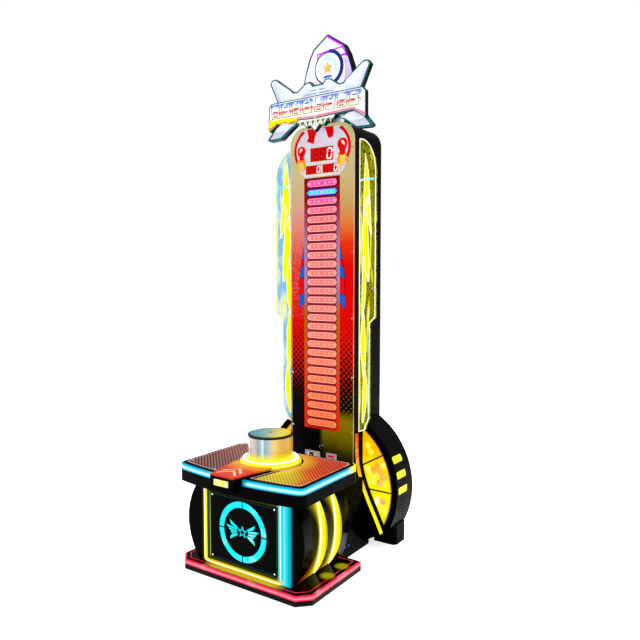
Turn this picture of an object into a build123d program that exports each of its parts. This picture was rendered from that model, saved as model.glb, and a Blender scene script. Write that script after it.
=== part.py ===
"""Strength tester: a strike drum on a lit pedestal in front of a tall lamp tower.

Millimetres, +Z up. The player stands on the -Y side. The origin is on the floor,
in the middle of the machine's length and width.
"""
from build123d import *
import math
import os

os.makedirs("parts", exist_ok=True)

# ---------------------------------------------------------------- driving sizes
console_overhang = 110      # the button console stands this far ahead of the base
tower_back = 1128           # base front edge to the tower's back
tower_depth = 320
tower_top = 2577
tower_half_width = 238
pedestal_top = 507
drum_r = 126
button_proud = 5            # the start button stands out of its console
hinge_r = 6                 # rear door hinge knuckles
base_front = (console_overhang + button_proud - tower_back - 2 * hinge_r) / 2

floor_gap = 4               # carcasses stand on levelling feet
levelling_foot_r = 22
board = 15                  # carcass board thickness
sheet = 12                  # thin carcass wall
fit_gap = 0.5               # gap left round a piece that drops into an opening
slip_gap = 3                # gap round the drum where it passes the deck

# base
base_half_width = 450
base_depth = 536
base_corner = 64
base_height = 60
base_kick = 31              # height of the black plinth under the light strip
base_lid = 4
base_strip_depth = 10

# pedestal
fascia_y = base_front + 52
fascia_thick = 8
pedestal_back = base_front + 545
barrel_foot_x = 321         # barrel side where it meets the base and the deck
barrel_belly_x = barrel_foot_x + 84
barrel_bulge_z = (base_height + pedestal_top) / 2
carcass_half_width = barrel_foot_x - 21
barrel_skin = 10
gill_depth = 42             # how far each side plate runs in before the next one
gill_fronts = (base_front + 265, base_front + 406)
gill_thick = 8

# front panel, its ring and its tube
panel_half_width = 240
panel_low, panel_high = base_height + 34, pedestal_top - 44
ring_outer_r = 0.444 * (panel_high - panel_low)
ring_inner_r = ring_outer_r - 32
ring_z = (panel_low + panel_high) / 2 + 3
ring_gap = 8
relief = 2                  # thin pieces stand this far proud of the panel
tube_half_span = panel_half_width + 28
tube_width, tube_depth = 16, 11
tube_top = pedestal_top - 22
tube_corner_r = 25
panel_screw_inset = (22, 14)
star_r, star_waist = 34, 14
bar_reaches = [share * ring_inner_r for share in (0.85, 0.743, 0.637)]
bar_root_x, bar_rise, bar_drop, bar_pitch = 40, 14, 10, 16

# deck
deck_half_width = base_half_width - 20
deck_top = pedestal_top + 100
deck_bow = 40               # the front edge is bowed forward by this much
deck_side_y = base_front + 8
deck_back = base_front + 545
deck_corner_r = 45
deck_plate = 14
strip_width = 12
strip_low, strip_high = deck_top - 36, deck_top - 3
inlay_thick = 2
inlay_margin = 34
inlay_gap = 26              # half the black gap between an inlay and the tongue

# button console
console_half_width = 78
console_front = base_front - console_overhang
console_low, console_top = deck_top - 59, deck_top + 14
tongue_thick = 10
tongue_root_half_width = 128
button_width, button_height, button_length = 96, 31, 30
button_z = deck_top - 15
button_travel = 4
pocket_wall = 6

# strike drum
drum_y = base_front + 294
drum_top = deck_top + 170
skirt_wall = 6
skirt_foot = deck_top - 16
cap_thick = 12
gasket_width = 10
gasket_drop = 3
flange_outer_r = drum_r + 50
flange_thick = 12
glow_r, glow_tube_r = drum_r + 23, 13
drum_travel = 25
shaft_r = 14
bearing_gap = 0.05
bearing_r = 32
bracket_top = pedestal_top - 27
bracket_thick = 10
bracket_depth = 160
bearing_height = 70
collar_r, collar_thick = 72, 10
collar_z = bracket_top + 82
bumper_r, bumper_ring_r = 11, 56
spring_r, wire_r, spring_turns = 33, 3.5, 4
shaft_foot = bracket_top - 100
clip_r, clip_thick = 22, 6
cap_bolt_r = 5
hub_r, hub_thick = 60, 12
sensor_x = 70
sensor_size = (46, 34, 48)

# tower
tower_front = base_front + tower_back - tower_depth
tower_rear = base_front + tower_back
tower_panel_thick = 8
tower_corner_r = 110
tower_panel_foot = 440
lamp_half_width = 132
lamp_low, lamp_high = 695, tower_top - 316
lamp_frame_thick = 7
lamp_count = 28
lamp_first_z = lamp_low + 38
lamp_pitch = (lamp_high - 35 - lamp_first_z) / (lamp_count - 1)
lamp_width, lamp_thick = 2 * lamp_half_width - 43, 4
lamp_height = 0.74 * lamp_pitch
score_size = (168, 83)
score_z = tower_top - 176
small_size = (113, 54)
small_x, small_z = 63, tower_top - 266
display_thick = 6
panel_screw_shares = (0.926, 0.79, 0.636, 0.449, 0.281, 0.122)

# coin and card plates
coin_size = (114, 92)
coin_x, coin_top = -70, 548
card_size = (76, 80)
card_x = 73
plate_thick = 4
slot_size = (4, 32)
return_r, return_travel, return_length, return_proud = 9, 4, 14, 6
lock_r, lock_length, lock_z = 11, 26, 583
lock_face = 5               # how far a lock's face stands out of its panel
key_slot = (2, 9)

# link body between the pedestal and the tower
link_top = tower_panel_foot

# flared tower foot and the drum fairing behind it
flare_front = tower_front + 7
flare_depth = 70
flare_strip = 28
flare_strip_thick = 5
flare_steps = ((8, 692), (22, 479), (68, 342), (182, 110))   # beyond the tower's side
flare_foot_x = tower_half_width + 62
flare_sole_z = 40
fairing_z = 343
fairing_r = tower_half_width + 254
fairing_front = tower_front + 82
fairing_back = tower_rear - 33
fairing_foot = 125
fairing_wall = 10
fairing_face = 8
lens_r = fairing_r - 42
lens_foot = fairing_foot + 7
spoke_half = 4
spoke_angles = (0, 30)
tower_clearance = 1.5
pill_angles = (1.5, 12.5, 23.5)
pill_length, pill_height = 116, 44
pill_corner_r, pill_thick = 12, 3
pill_y = tower_front + 158
foot_outer_x = max(base_half_width, flare_foot_x + 60)
foot_front, foot_back = tower_front + 142, tower_rear - 36
foot_chamfer = 20

# side wings
wing_root_y = tower_front + 57
wing_sweep = 14             # degrees that the wings lean towards the player
wing_thick = 10
wing_gap = 4
wing_round = 72             # drop of the rounded shoulder at two thirds of its width
wing_low, wing_high = 697, tower_top - 103
wing_upper, wing_lower = 138, 92
wing_step_z, wing_step_foot = 1410, 1372
wing_taper_z, wing_tip = 800, 50
wing_shoulder_z = wing_high - 219

# topper; its outlines are heights above the tower's top
plate_front = tower_front - 43
plate_back = tower_front - 8
banner_front = plate_front - 30
block_front = banner_front - 18
block_count = 8
block_width, block_height = 72, 92
block_pitch = 80
block_slant = 10
block_z = tower_top + 97
bullet_front = tower_front + 69
bullet_back = tower_front + 127
bullet_face = 6
bullet_wall = 8
badge_z, badge_r, badge_thick = tower_top + 357, 88, 5
arm_half_width, arm_sheet, arm_height = 90, 6, 150

# rear door and what is inside the tower
door_half_width = tower_half_width - 68
door_low, door_high = 330, tower_top - 677
door_mid = (door_low + door_high) / 2
door_thick = 12
door_gap = 2
door_hinge_inset = 150
leaf_width, leaf_height, leaf_thick = 39, 80, 2
pin_r, pin_stub = 3.4, 6
cam_x, cam_lock_z = door_half_width - 30, door_mid + 35
cam_size = (16, 66)
vent_z, vent_size, vent_pitch, vent_count = tower_top - 377, (180, 8), 22, 6
inlet_x, inlet_z = door_half_width - 20, 110
inlet_size = (58, 34, 30)
inlet_cavity = (30, 20, 18)
inlet_lip, inlet_face = 4, 3
board_y, board_z, board_size = tower_front + 152, 1300, (3, 180, 260)
supply_spot, supply_size = (-120, tower_front + 172), (110, 210, 55)
speaker_y, speaker_z = tower_front + 152, tower_top - 597
speaker_cone_r, speaker_magnet_r = 62, 35

# fasteners
screw_head_r, screw_head_thick = 4.5, 2
screw_shank_r, screw_shank = 2.4, 6


def upright(y):
    """Vertical plane facing the player at depth y; a negative extrusion runs back."""
    return Plane(origin=(0, y, 0), x_dir=(1, 0, 0), z_dir=(0, -1, 0))


def save(builder, name):
    """Label a finished piece and write its file."""
    builder.part.label = name
    export_step(builder.part, f"parts/{name}.step")


def both_sides(points):
    """Close a topper outline given by its right half, listed from the centre line round."""
    right = [(x, tower_top + rise) for x, rise in points]
    left = [(-x, z) for x, z in reversed(right) if x]
    Polyline(*right, *left, close=True)


# ---------------------------------------------------------------- base
def base_outline():
    with BuildSketch() as outline:
        half, front, back = base_half_width, base_front, base_front + base_depth
        with BuildLine():
            Polyline((half - base_corner, front), (half, front + base_corner),
                     (half, back), (-half, back), (-half, front + base_corner),
                     (base_corner - half, front), close=True)
        make_face()
    return outline.sketch


def base_core():
    with BuildSketch() as core:
        add(base_outline())
        offset(amount=-base_strip_depth, kind=Kind.INTERSECTION)
    return core.sketch


strip_top = base_height - base_lid
with BuildPart() as base_plinth:
    with BuildSketch(Plane.XY.offset(floor_gap)):
        add(base_outline())
    extrude(amount=base_kick - floor_gap)
    with BuildSketch(Plane.XY.offset(base_kick)):
        add(base_core())
    extrude(amount=strip_top - base_kick)
    with BuildSketch(Plane.XY.offset(strip_top)):
        add(base_core())
    extrude(amount=base_lid)
save(base_plinth, "base_plinth")

with BuildPart() as base_light:
    with BuildSketch(Plane.XY.offset(base_kick)):
        add(base_outline())
        add(base_core(), mode=Mode.SUBTRACT)
    extrude(amount=strip_top - base_kick)
    chamfer(base_light.faces().sort_by(Axis.Z)[-1].outer_wire().edges(), 3)
save(base_light, "base_light")

base_feet_x, tower_feet_x = base_half_width - 90, tower_half_width - 38
foot_spots = [(x, base_front + y) for y in (70, base_depth - 56)
              for x in (-base_feet_x, base_feet_x)]
foot_spots += [(x, y) for y in (tower_front - 108, tower_rear - 128)
               for x in (-tower_feet_x, tower_feet_x)]
with BuildPart() as levelling_feet:
    with BuildSketch():
        with Locations(*foot_spots):
            Circle(levelling_foot_r)
    extrude(amount=floor_gap)
save(levelling_feet, "levelling_feet")


# ---------------------------------------------------------------- pedestal
def barrel(inset, belly):
    """Barrel outline drawn in so far all round, with its belly drawn in further."""
    foot = barrel_foot_x - inset
    with BuildSketch(mode=Mode.PRIVATE) as outline:
        with BuildLine():
            bulge = barrel_belly_x - inset - belly
            ThreePointArc((foot, base_height), (bulge, barrel_bulge_z), (foot, pedestal_top))
            Line((foot, pedestal_top), (-foot, pedestal_top))
            ThreePointArc((-foot, pedestal_top), (-bulge, barrel_bulge_z),
                          (-foot, base_height))
            Line((-foot, base_height), (foot, base_height))
        make_face()
    return outline.sketch


with BuildPart() as front_cabinet:
    with BuildSketch(upright(fascia_y)):
        add(barrel(0, 0))
        with Locations((0, (panel_low + panel_high) / 2)):
            Rectangle(2 * panel_half_width + 2 * fit_gap,
                      panel_high - panel_low + 2 * fit_gap, mode=Mode.SUBTRACT)
    extrude(amount=-fascia_thick)
    carcass_high = pedestal_top - base_height
    with BuildSketch(upright(fascia_y + fascia_thick)):
        with Locations((0, base_height + carcass_high / 2)):
            Rectangle(2 * carcass_half_width, carcass_high)
        with Locations((0, base_height + board + carcass_high / 2)):
            Rectangle(2 * (carcass_half_width - board), carcass_high, mode=Mode.SUBTRACT)
    extrude(amount=-(pedestal_back - fascia_y - fascia_thick))
save(front_cabinet, "front_cabinet")

plate_starts = (fascia_y + fascia_thick, *gill_fronts)
plate_ends = (gill_fronts[0] - gill_thick, gill_fronts[1] - gill_thick, pedestal_back)


def side_shell(start, end, sign):
    """One curved side plate: full belly at its front edge, drawn in at its rear."""
    keep = Keep.TOP if sign > 0 else Keep.BOTTOM
    with BuildPart() as plate:
        with BuildSketch(upright(start)):
            add(barrel(0, 0))
        with BuildSketch(upright(end)):
            add(barrel(0, gill_depth))
        loft(ruled=True)
        with BuildSketch(upright(start)):
            add(barrel(barrel_skin, 0))
        with BuildSketch(upright(end)):
            add(barrel(barrel_skin, gill_depth))
        loft(ruled=True, mode=Mode.SUBTRACT)
        split(bisect_by=Plane.YZ, keep=keep)
    return plate.part


with BuildPart() as side_shells:
    for start, end in zip(plate_starts, plate_ends):
        for sign in (-1, 1):
            add(side_shell(start, end, sign))
save(side_shells, "side_shells")

with BuildPart() as gill_lights:
    for gill_front in gill_fronts:
        with BuildSketch(upright(gill_front - gill_thick)):
            add(barrel(0, 0))
            add(barrel(0, gill_depth), mode=Mode.SUBTRACT)
        extrude(amount=-gill_thick)
save(gill_lights, "gill_lights")

panel_screw_x = panel_half_width - panel_screw_inset[0]
panel_screw_spots = [(x, z) for x in (-panel_screw_x, panel_screw_x)
                     for z in (panel_low + panel_screw_inset[1],
                               panel_high - panel_screw_inset[1])]
with BuildPart() as front_panel:
    with BuildSketch(upright(fascia_y)):
        with Locations((0, (panel_low + panel_high) / 2)):
            Rectangle(2 * panel_half_width, panel_high - panel_low)
        with Locations(*panel_screw_spots):
            Circle(screw_shank_r, mode=Mode.SUBTRACT)
    extrude(amount=-fascia_thick)
save(front_panel, "front_panel")

with BuildPart() as front_ring_light:
    with BuildSketch(upright(fascia_y - relief)):
        with Locations((0, ring_z)):
            Circle(ring_outer_r)
            Circle(ring_inner_r, mode=Mode.SUBTRACT)
            Rectangle(ring_gap, 2 * ring_outer_r, mode=Mode.SUBTRACT)
            Rectangle(2 * ring_outer_r, ring_gap, mode=Mode.SUBTRACT)
    extrude(amount=-relief)
save(front_ring_light, "front_ring_light")

with BuildPart() as front_emblem:
    with BuildSketch(upright(fascia_y - relief)):
        with BuildLine():
            tips = [(radius * math.sin(math.radians(36 * k)),
                     ring_z + radius * math.cos(math.radians(36 * k)))
                    for k, radius in enumerate([star_r, star_waist] * 5)]
            Polyline(*tips, close=True)
        make_face()
        for row, reach in enumerate(bar_reaches):
            root_z = ring_z + bar_rise - bar_pitch * row
            for sign in (-1, 1):
                with BuildLine():
                    Polyline((sign * bar_root_x, root_z), (sign * reach, root_z + 8),
                             (sign * (reach - 10), root_z - 3),
                             (sign * bar_root_x, root_z - bar_drop), close=True)
                make_face()
    extrude(amount=-relief)
save(front_emblem, "front_emblem")

tube_low = base_height + 2
with BuildPart() as neon_tube:
    with BuildSketch(upright(fascia_y - tube_depth)):
        span, rise = 2 * tube_half_span, 2 * (tube_top - tube_low)
        with Locations((0, tube_top)):
            RectangleRounded(span + tube_width, rise, tube_corner_r)
            RectangleRounded(span - tube_width, rise - 2 * tube_width,
                             tube_corner_r - tube_width, mode=Mode.SUBTRACT)
        with Locations((0, tube_top + rise / 2)):
            Rectangle(2 * span, rise, mode=Mode.SUBTRACT)
    extrude(amount=-tube_depth)
    fillet(neon_tube.faces().sort_by(Axis.Y)[0].edges(), 4)
save(neon_tube, "neon_tube")


# ---------------------------------------------------------------- deck
def deck_outline(inset):
    with BuildSketch(mode=Mode.PRIVATE) as outline:
        half = deck_half_width
        with BuildLine():
            ThreePointArc((-half, deck_side_y), (0, deck_side_y - deck_bow - 8),
                          (half, deck_side_y))
            Polyline((half, deck_side_y), (half, deck_back), (-half, deck_back),
                     (-half, deck_side_y))
        make_face()
        fillet(outline.vertices(), deck_corner_r)
        offset(amount=-inset)
    return outline.sketch


hole_r = drum_r + slip_gap
with BuildPart() as table_deck:
    with BuildSketch(Plane.XY.offset(pedestal_top)):
        add(deck_outline(0))
        add(deck_outline(2 * sheet), mode=Mode.SUBTRACT)
    extrude(amount=strip_low - pedestal_top)
    with BuildSketch(Plane.XY.offset(strip_low)):
        add(deck_outline(strip_width))
        add(deck_outline(2 * sheet), mode=Mode.SUBTRACT)
    extrude(amount=deck_top - strip_low)
    with BuildSketch(Plane.XY.offset(deck_top - deck_plate)):
        add(deck_outline(strip_width))
        with Locations((0, drum_y)):
            Circle(hole_r, mode=Mode.SUBTRACT)
    extrude(amount=deck_plate)
    console_depth = deck_side_y - deck_bow + sheet - console_front
    with BuildSketch(Plane.XY.offset(console_low)):
        with Locations((0, console_front + console_depth / 2)):
            Rectangle(2 * console_half_width, console_depth)
    extrude(amount=console_top - console_low)
    with BuildSketch(Plane.XY.offset(deck_top)):
        riser_back = drum_y - flange_outer_r
        with BuildLine():
            Polyline((console_half_width, deck_side_y - deck_bow),
                     (tongue_root_half_width - strip_width, riser_back + 30),
                     (strip_width - tongue_root_half_width, riser_back + 30),
                     (-console_half_width, deck_side_y - deck_bow), close=True)
        make_face()
        with Locations((0, drum_y)):
            Circle(flange_outer_r + fit_gap, mode=Mode.SUBTRACT)
    extrude(amount=console_top - deck_top)
    with BuildSketch(upright(console_front)):
        with Locations((0, button_z)):
            Rectangle(button_width + 2 * fit_gap, button_height + 2 * fit_gap)
    extrude(amount=-(button_length + button_travel + pocket_wall), mode=Mode.SUBTRACT)
save(table_deck, "table_deck")

console_cut = console_half_width + fit_gap
with BuildPart() as table_light:
    with BuildSketch(Plane.XY.offset(strip_low)):
        add(deck_outline(0))
        add(deck_outline(strip_width), mode=Mode.SUBTRACT)
        with Locations((0, deck_side_y - deck_bow)):
            Rectangle(2 * console_cut, 2 * deck_bow, mode=Mode.SUBTRACT)
        with Locations((0, deck_back)):
            Rectangle(2 * (deck_half_width - deck_corner_r), 4 * strip_width,
                      mode=Mode.SUBTRACT)
    extrude(amount=strip_high - strip_low)
save(table_light, "table_light")


def tongue_edge(y):
    """Half width of the tongue at depth y, from the console back to the ring."""
    reach = (y - console_front) / (drum_y - flange_outer_r + 30 - console_front)
    return console_half_width + (tongue_root_half_width - console_half_width) * reach


with BuildPart() as table_panels:
    with BuildSketch(Plane.XY.offset(deck_top)):
        add(deck_outline(inlay_margin))
        with Locations((0, drum_y)):
            Circle(flange_outer_r + inlay_gap / 2, mode=Mode.SUBTRACT)
        front = deck_side_y - 2 * deck_bow
        near = tongue_edge(front) + inlay_gap
        far = tongue_edge(drum_y) + inlay_gap
        with BuildLine():
            Polyline((near, front), (far, drum_y), (-far, drum_y), (-near, front), close=True)
        make_face(mode=Mode.SUBTRACT)
        with Locations((0, drum_y)):
            Rectangle(inlay_gap, 2 * deck_half_width, align=(Align.CENTER, Align.MIN),
                      mode=Mode.SUBTRACT)
    extrude(amount=inlay_thick)
save(table_panels, "table_panels")

with BuildPart() as tongue_plate:
    with BuildSketch(Plane.XY.offset(console_top)):
        root = drum_y - flange_outer_r + 30
        with BuildLine():
            Polyline((console_half_width, console_front), (tongue_root_half_width, root),
                     (-tongue_root_half_width, root), (-console_half_width, console_front),
                     close=True)
        make_face()
        with Locations((0, drum_y)):
            Circle(flange_outer_r + 4, mode=Mode.SUBTRACT)
    extrude(amount=tongue_thick)
    chamfer(tongue_plate.faces().sort_by(Axis.Z)[-1].edges(), 2)
save(tongue_plate, "tongue_plate")

with BuildPart() as start_button:
    with BuildSketch(upright(console_front - button_proud)):
        with Locations((0, button_z)):
            RectangleRounded(button_width, button_height, 4)
    extrude(amount=-(button_length + button_proud))
    fillet(start_button.faces().sort_by(Axis.Y)[0].edges(), 1.5)
save(start_button, "start_button")

# ---------------------------------------------------------------- strike drum
with BuildPart() as drum_flange:
    with BuildSketch(Plane.XY.offset(deck_top)):
        with Locations((0, drum_y)):
            Circle(flange_outer_r)
            Circle(hole_r, mode=Mode.SUBTRACT)
    extrude(amount=flange_thick)
    chamfer(drum_flange.faces().sort_by(Axis.Z)[-1].outer_wire().edges(), 4)
save(drum_flange, "drum_flange")

glow_z = deck_top + flange_thick
with BuildPart() as ring_light:
    with BuildSketch(Plane.XZ):
        with Locations((glow_r, glow_z + glow_tube_r - 3)):
            Circle(glow_tube_r)
        with Locations((glow_r, glow_z - glow_tube_r)):
            Rectangle(4 * glow_tube_r, 2 * glow_tube_r, mode=Mode.SUBTRACT)
    revolve(axis=Axis.Z)
ring_light_part = ring_light.part.moved(Location((0, drum_y, 0)))
with BuildPart() as ring_light:
    add(ring_light_part)
save(ring_light, "ring_light")

gasket_top = drum_top - gasket_drop
skirt_top = drum_top - cap_thick - gasket_drop
with BuildPart() as drum_skirt:
    with BuildSketch(Plane.XY.offset(skirt_foot)):
        with Locations((0, drum_y)):
            Circle(drum_r)
            Circle(drum_r - skirt_wall, mode=Mode.SUBTRACT)
    extrude(amount=skirt_top - skirt_foot)
save(drum_skirt, "drum_skirt")

with BuildPart() as drum_gasket:
    with BuildSketch(Plane.XY.offset(skirt_top)):
        with Locations((0, drum_y)):
            Circle(drum_r + 1)
            Circle(drum_r - gasket_width, mode=Mode.SUBTRACT)
    extrude(amount=gasket_top - skirt_top)
    fillet(drum_gasket.faces().sort_by(Axis.Z)[-1].outer_wire().edges(), 4)
save(drum_gasket, "drum_gasket")

with BuildPart() as drum_cap:
    with BuildSketch(Plane.XY.offset(skirt_top)):
        with Locations((0, drum_y)):
            Circle(drum_r - gasket_width)
            Circle(cap_bolt_r, mode=Mode.SUBTRACT)
    extrude(amount=drum_top - skirt_top)
    fillet(drum_cap.faces().sort_by(Axis.Z)[-1].outer_wire().edges(), 2)
save(drum_cap, "drum_cap")

with BuildPart() as drum_shaft:
    shaft_rings = ((shaft_r, shaft_foot, skirt_top),
                   (hub_r, skirt_top - hub_thick, skirt_top),
                   (collar_r, collar_z, collar_z + collar_thick),
                   (cap_bolt_r, skirt_top, drum_top - 4))
    for radius, low, high in shaft_rings:
        with BuildSketch(Plane.XY.offset(low)):
            with Locations((0, drum_y)):
                Circle(radius)
        extrude(amount=high - low)
save(drum_shaft, "drum_shaft")

bearing_foot = bracket_top - bracket_thick - bearing_height
with BuildPart() as shaft_bearing:
    with BuildSketch(Plane.XY.offset(bracket_top - bracket_thick)):
        with Locations((0, drum_y)):
            Rectangle(2 * (carcass_half_width - board), bracket_depth)
    extrude(amount=bracket_thick)
    with BuildSketch(Plane.XY.offset(bearing_foot)):
        with Locations((0, drum_y)):
            Circle(bearing_r)
    extrude(amount=bearing_height)
    with BuildSketch(Plane.XY.offset(bearing_foot)):
        with Locations((0, drum_y)):
            Circle(shaft_r + bearing_gap)
    extrude(amount=bearing_height + bracket_thick, mode=Mode.SUBTRACT)
save(shaft_bearing, "shaft_bearing")

with BuildPart() as shaft_clip:
    with BuildSketch(Plane.XY.offset(bearing_foot - clip_thick - fit_gap)):
        with Locations((0, drum_y)):
            Circle(clip_r)
            Circle(shaft_r, mode=Mode.SUBTRACT)
    extrude(amount=clip_thick)
save(shaft_clip, "shaft_clip")

bumper_high = collar_z - drum_travel - fit_gap - bracket_top
with BuildPart() as stop_bumpers:
    with BuildSketch(Plane.XY.offset(bracket_top)):
        with Locations((0, drum_y)):
            with PolarLocations(bumper_ring_r, 4, 45):
                Circle(bumper_r)
    extrude(amount=bumper_high)
save(stop_bumpers, "stop_bumpers")

spring_height = collar_z - bracket_top - 2 * wire_r - 2 * fit_gap
with BuildPart() as drum_spring:
    with BuildLine():
        coil = Helix(pitch=spring_height / spring_turns, height=spring_height,
                     radius=spring_r)
    with BuildSketch(Plane(origin=coil @ 0, z_dir=coil % 0)):
        Circle(wire_r)
    sweep(path=coil, is_frenet=True)
spring_part = drum_spring.part.moved(Location((0, drum_y, bracket_top + wire_r + fit_gap)))
with BuildPart() as drum_spring:
    add(spring_part)
save(drum_spring, "drum_spring")

with BuildPart() as impact_sensor:
    with Locations((sensor_x, drum_y, bracket_top - bracket_thick)):
        Box(*sensor_size, align=(Align.CENTER, Align.CENTER, Align.MAX))
save(impact_sensor, "impact_sensor")

# ---------------------------------------------------------------- link body
with BuildPart() as link_body:
    link_height = link_top - floor_gap
    with BuildSketch(upright(pedestal_back)):
        with Locations((0, floor_gap + link_height / 2)):
            Rectangle(2 * carcass_half_width, link_height)
            Rectangle(2 * (carcass_half_width - board), link_height - 2 * board,
                      mode=Mode.SUBTRACT)
    extrude(amount=-(tower_front - pedestal_back))
save(link_body, "link_body")


# ---------------------------------------------------------------- tower
def tower_outline(inset, foot):
    """Tower seen from the front, with its rounded top corners."""
    half, top = tower_half_width - inset, tower_top - inset
    radius = tower_corner_r - inset
    with BuildSketch(mode=Mode.PRIVATE) as outline:
        with Locations((0, (foot + top) / 2)):
            Rectangle(2 * half, top - foot)
        fillet(outline.vertices().group_by(Axis.Y)[-1], radius)
    return outline.sketch


def upright_holes(spots, size):
    """Cut equal rectangular holes at spots from the sketch being built."""
    with Locations(*spots):
        Rectangle(*size, mode=Mode.SUBTRACT)


tower_skin_y = tower_front + tower_panel_thick
door_size = (2 * door_half_width, door_high - door_low)
inlet_hole = [size - 2 * inlet_lip for size in inlet_size[:2]]
with BuildPart() as tower_shell:
    with BuildSketch(upright(tower_skin_y)):
        add(tower_outline(0, floor_gap))
    extrude(amount=-(tower_rear - tower_skin_y))
    with BuildSketch(upright(tower_skin_y)):
        add(tower_outline(sheet, floor_gap + sheet))
    extrude(amount=-(tower_rear - tower_skin_y - sheet), mode=Mode.SUBTRACT)
    with BuildSketch(upright(tower_rear - sheet)):
        with Locations((0, door_mid)):
            Rectangle(door_size[0] + 2 * door_gap, door_size[1] + 2 * door_gap)
        with Locations((inlet_x, inlet_z)):
            Rectangle(*inlet_hole)
        with Locations((0, vent_z)):
            with GridLocations(0, vent_pitch, 1, vent_count):
                SlotOverall(*vent_size)
    extrude(amount=-sheet, mode=Mode.SUBTRACT)
save(tower_shell, "tower_shell")

score_spots = [(0, score_z)]
small_spots = [(-small_x, small_z), (small_x, small_z)]
lock_spot = (2, lock_z)
slot_spot = (coin_x - 10, coin_top - 30)
return_spot = (coin_x + 34, coin_top - 62)
tower_screw_x = tower_half_width - 16
tower_screw_spots = [(x, tower_panel_foot + share * (tower_top - tower_panel_foot))
                     for x in (-tower_screw_x, tower_screw_x)
                     for share in panel_screw_shares]
lamp_mid = (lamp_low + lamp_high) / 2
with BuildPart() as tower_panel:
    with BuildSketch(upright(tower_front)):
        add(tower_outline(0, tower_panel_foot))
        upright_holes([(0, lamp_mid)], (2 * lamp_half_width + 2 * fit_gap,
                                        lamp_high - lamp_low + 2 * fit_gap))
        upright_holes(score_spots, [size + 2 * fit_gap for size in score_size])
        upright_holes(small_spots, [size + 2 * fit_gap for size in small_size])
        upright_holes([slot_spot], slot_size)
        with Locations(return_spot):
            Circle(return_r + fit_gap, mode=Mode.SUBTRACT)
        with Locations(lock_spot):
            Circle(lock_r + fit_gap, mode=Mode.SUBTRACT)
        with Locations(*tower_screw_spots):
            Circle(screw_shank_r, mode=Mode.SUBTRACT)
    extrude(amount=-tower_panel_thick)
save(tower_panel, "tower_panel")

lamp_spots = [(0, lamp_first_z + lamp_pitch * k) for k in range(lamp_count)]
with BuildPart() as lamp_frame:
    with BuildSketch(upright(tower_front)):
        with Locations((0, lamp_mid)):
            Rectangle(2 * lamp_half_width, lamp_high - lamp_low)
        with Locations(*lamp_spots):
            SlotOverall(lamp_width + fit_gap, lamp_height + fit_gap, mode=Mode.SUBTRACT)
    extrude(amount=-lamp_frame_thick)
save(lamp_frame, "lamp_frame")

with BuildPart() as lamp_lenses:
    with BuildSketch(upright(tower_front + 1)):
        with Locations(*lamp_spots):
            SlotOverall(lamp_width, lamp_height)
    extrude(amount=-lamp_thick)
save(lamp_lenses, "lamp_lenses")

with BuildPart() as score_displays:
    with BuildSketch(upright(tower_front + 1)):
        with Locations(*score_spots):
            Rectangle(*score_size)
        with Locations(*small_spots):
            Rectangle(*small_size)
    extrude(amount=-display_thick)
save(score_displays, "score_displays")

# ---------------------------------------------------------------- coin and card plates
plate_y = tower_front - plate_thick
with BuildPart() as coin_plate:
    with BuildSketch(upright(plate_y)):
        with Locations((coin_x, coin_top - coin_size[1] / 2)):
            RectangleRounded(*coin_size, 5)
        upright_holes([slot_spot], slot_size)
        with Locations(return_spot):
            Circle(return_r + fit_gap, mode=Mode.SUBTRACT)
    extrude(amount=-plate_thick)
save(coin_plate, "coin_plate")

with BuildPart() as coin_return_button:
    with BuildSketch(upright(plate_y - return_proud)):
        with Locations(return_spot):
            Circle(return_r)
    extrude(amount=-return_length)
save(coin_return_button, "coin_return_button")

with BuildPart() as card_plate:
    with BuildSketch(upright(plate_y)):
        with Locations((card_x, coin_top + 2 - card_size[1] / 2)):
            RectangleRounded(*card_size, 5)
            Rectangle(46, 3, mode=Mode.SUBTRACT)
    extrude(amount=-plate_thick)
save(card_plate, "card_plate")

with BuildPart() as key_lock:
    with BuildSketch(upright(tower_front - lock_face)):
        with Locations(lock_spot):
            Circle(lock_r)
    extrude(amount=-lock_length)
    with BuildSketch(upright(tower_front - lock_face)):
        with Locations(lock_spot):
            Rectangle(*key_slot)
    extrude(amount=-6, mode=Mode.SUBTRACT)
    with BuildSketch(upright(tower_front - lock_face + lock_length)):
        with Locations((lock_spot[0] + 14, lock_z)):
            Rectangle(44, 14)
    extrude(amount=-2)
save(key_lock, "key_lock")

# ---------------------------------------------------------------- flared foot
flare_profile = [(tower_half_width + step, z) for step, z in flare_steps]
flare_shoulder, flare_toe = flare_profile[0], flare_profile[-1]
flare_ends = ((0, -1), (0.45, -1))     # directions in which the outline starts and ends


def flare_body_sketch():
    """Right half of the flared foot, from the tower's side out to its toe."""
    side = tower_half_width + tower_clearance
    with BuildSketch(mode=Mode.PRIVATE) as half:
        with BuildLine():
            Spline(*flare_profile, tangents=flare_ends)
            Polyline(flare_toe, (flare_foot_x, flare_sole_z), (flare_foot_x, floor_gap),
                     (side, floor_gap), (side, flare_shoulder[1]), flare_shoulder)
        make_face()
    return half.sketch


def flare_strip_sketch():
    """The lit edge: a band of even width along the flared outline."""
    inner = [(x - flare_strip_thick, z) for x, z in flare_profile]
    with BuildSketch(mode=Mode.PRIVATE) as band:
        with BuildLine():
            Spline(*flare_profile, tangents=flare_ends)
            Line(flare_toe, inner[-1])
            Spline(*inner, tangents=flare_ends)
            Line(inner[0], flare_shoulder)
        make_face()
    return band.sketch


with BuildPart() as flare_lights:
    with BuildSketch(upright(flare_front)):
        add(flare_strip_sketch())
    extrude(amount=-flare_strip)
    mirror(about=Plane.YZ)
save(flare_lights, "flare_lights")

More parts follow.
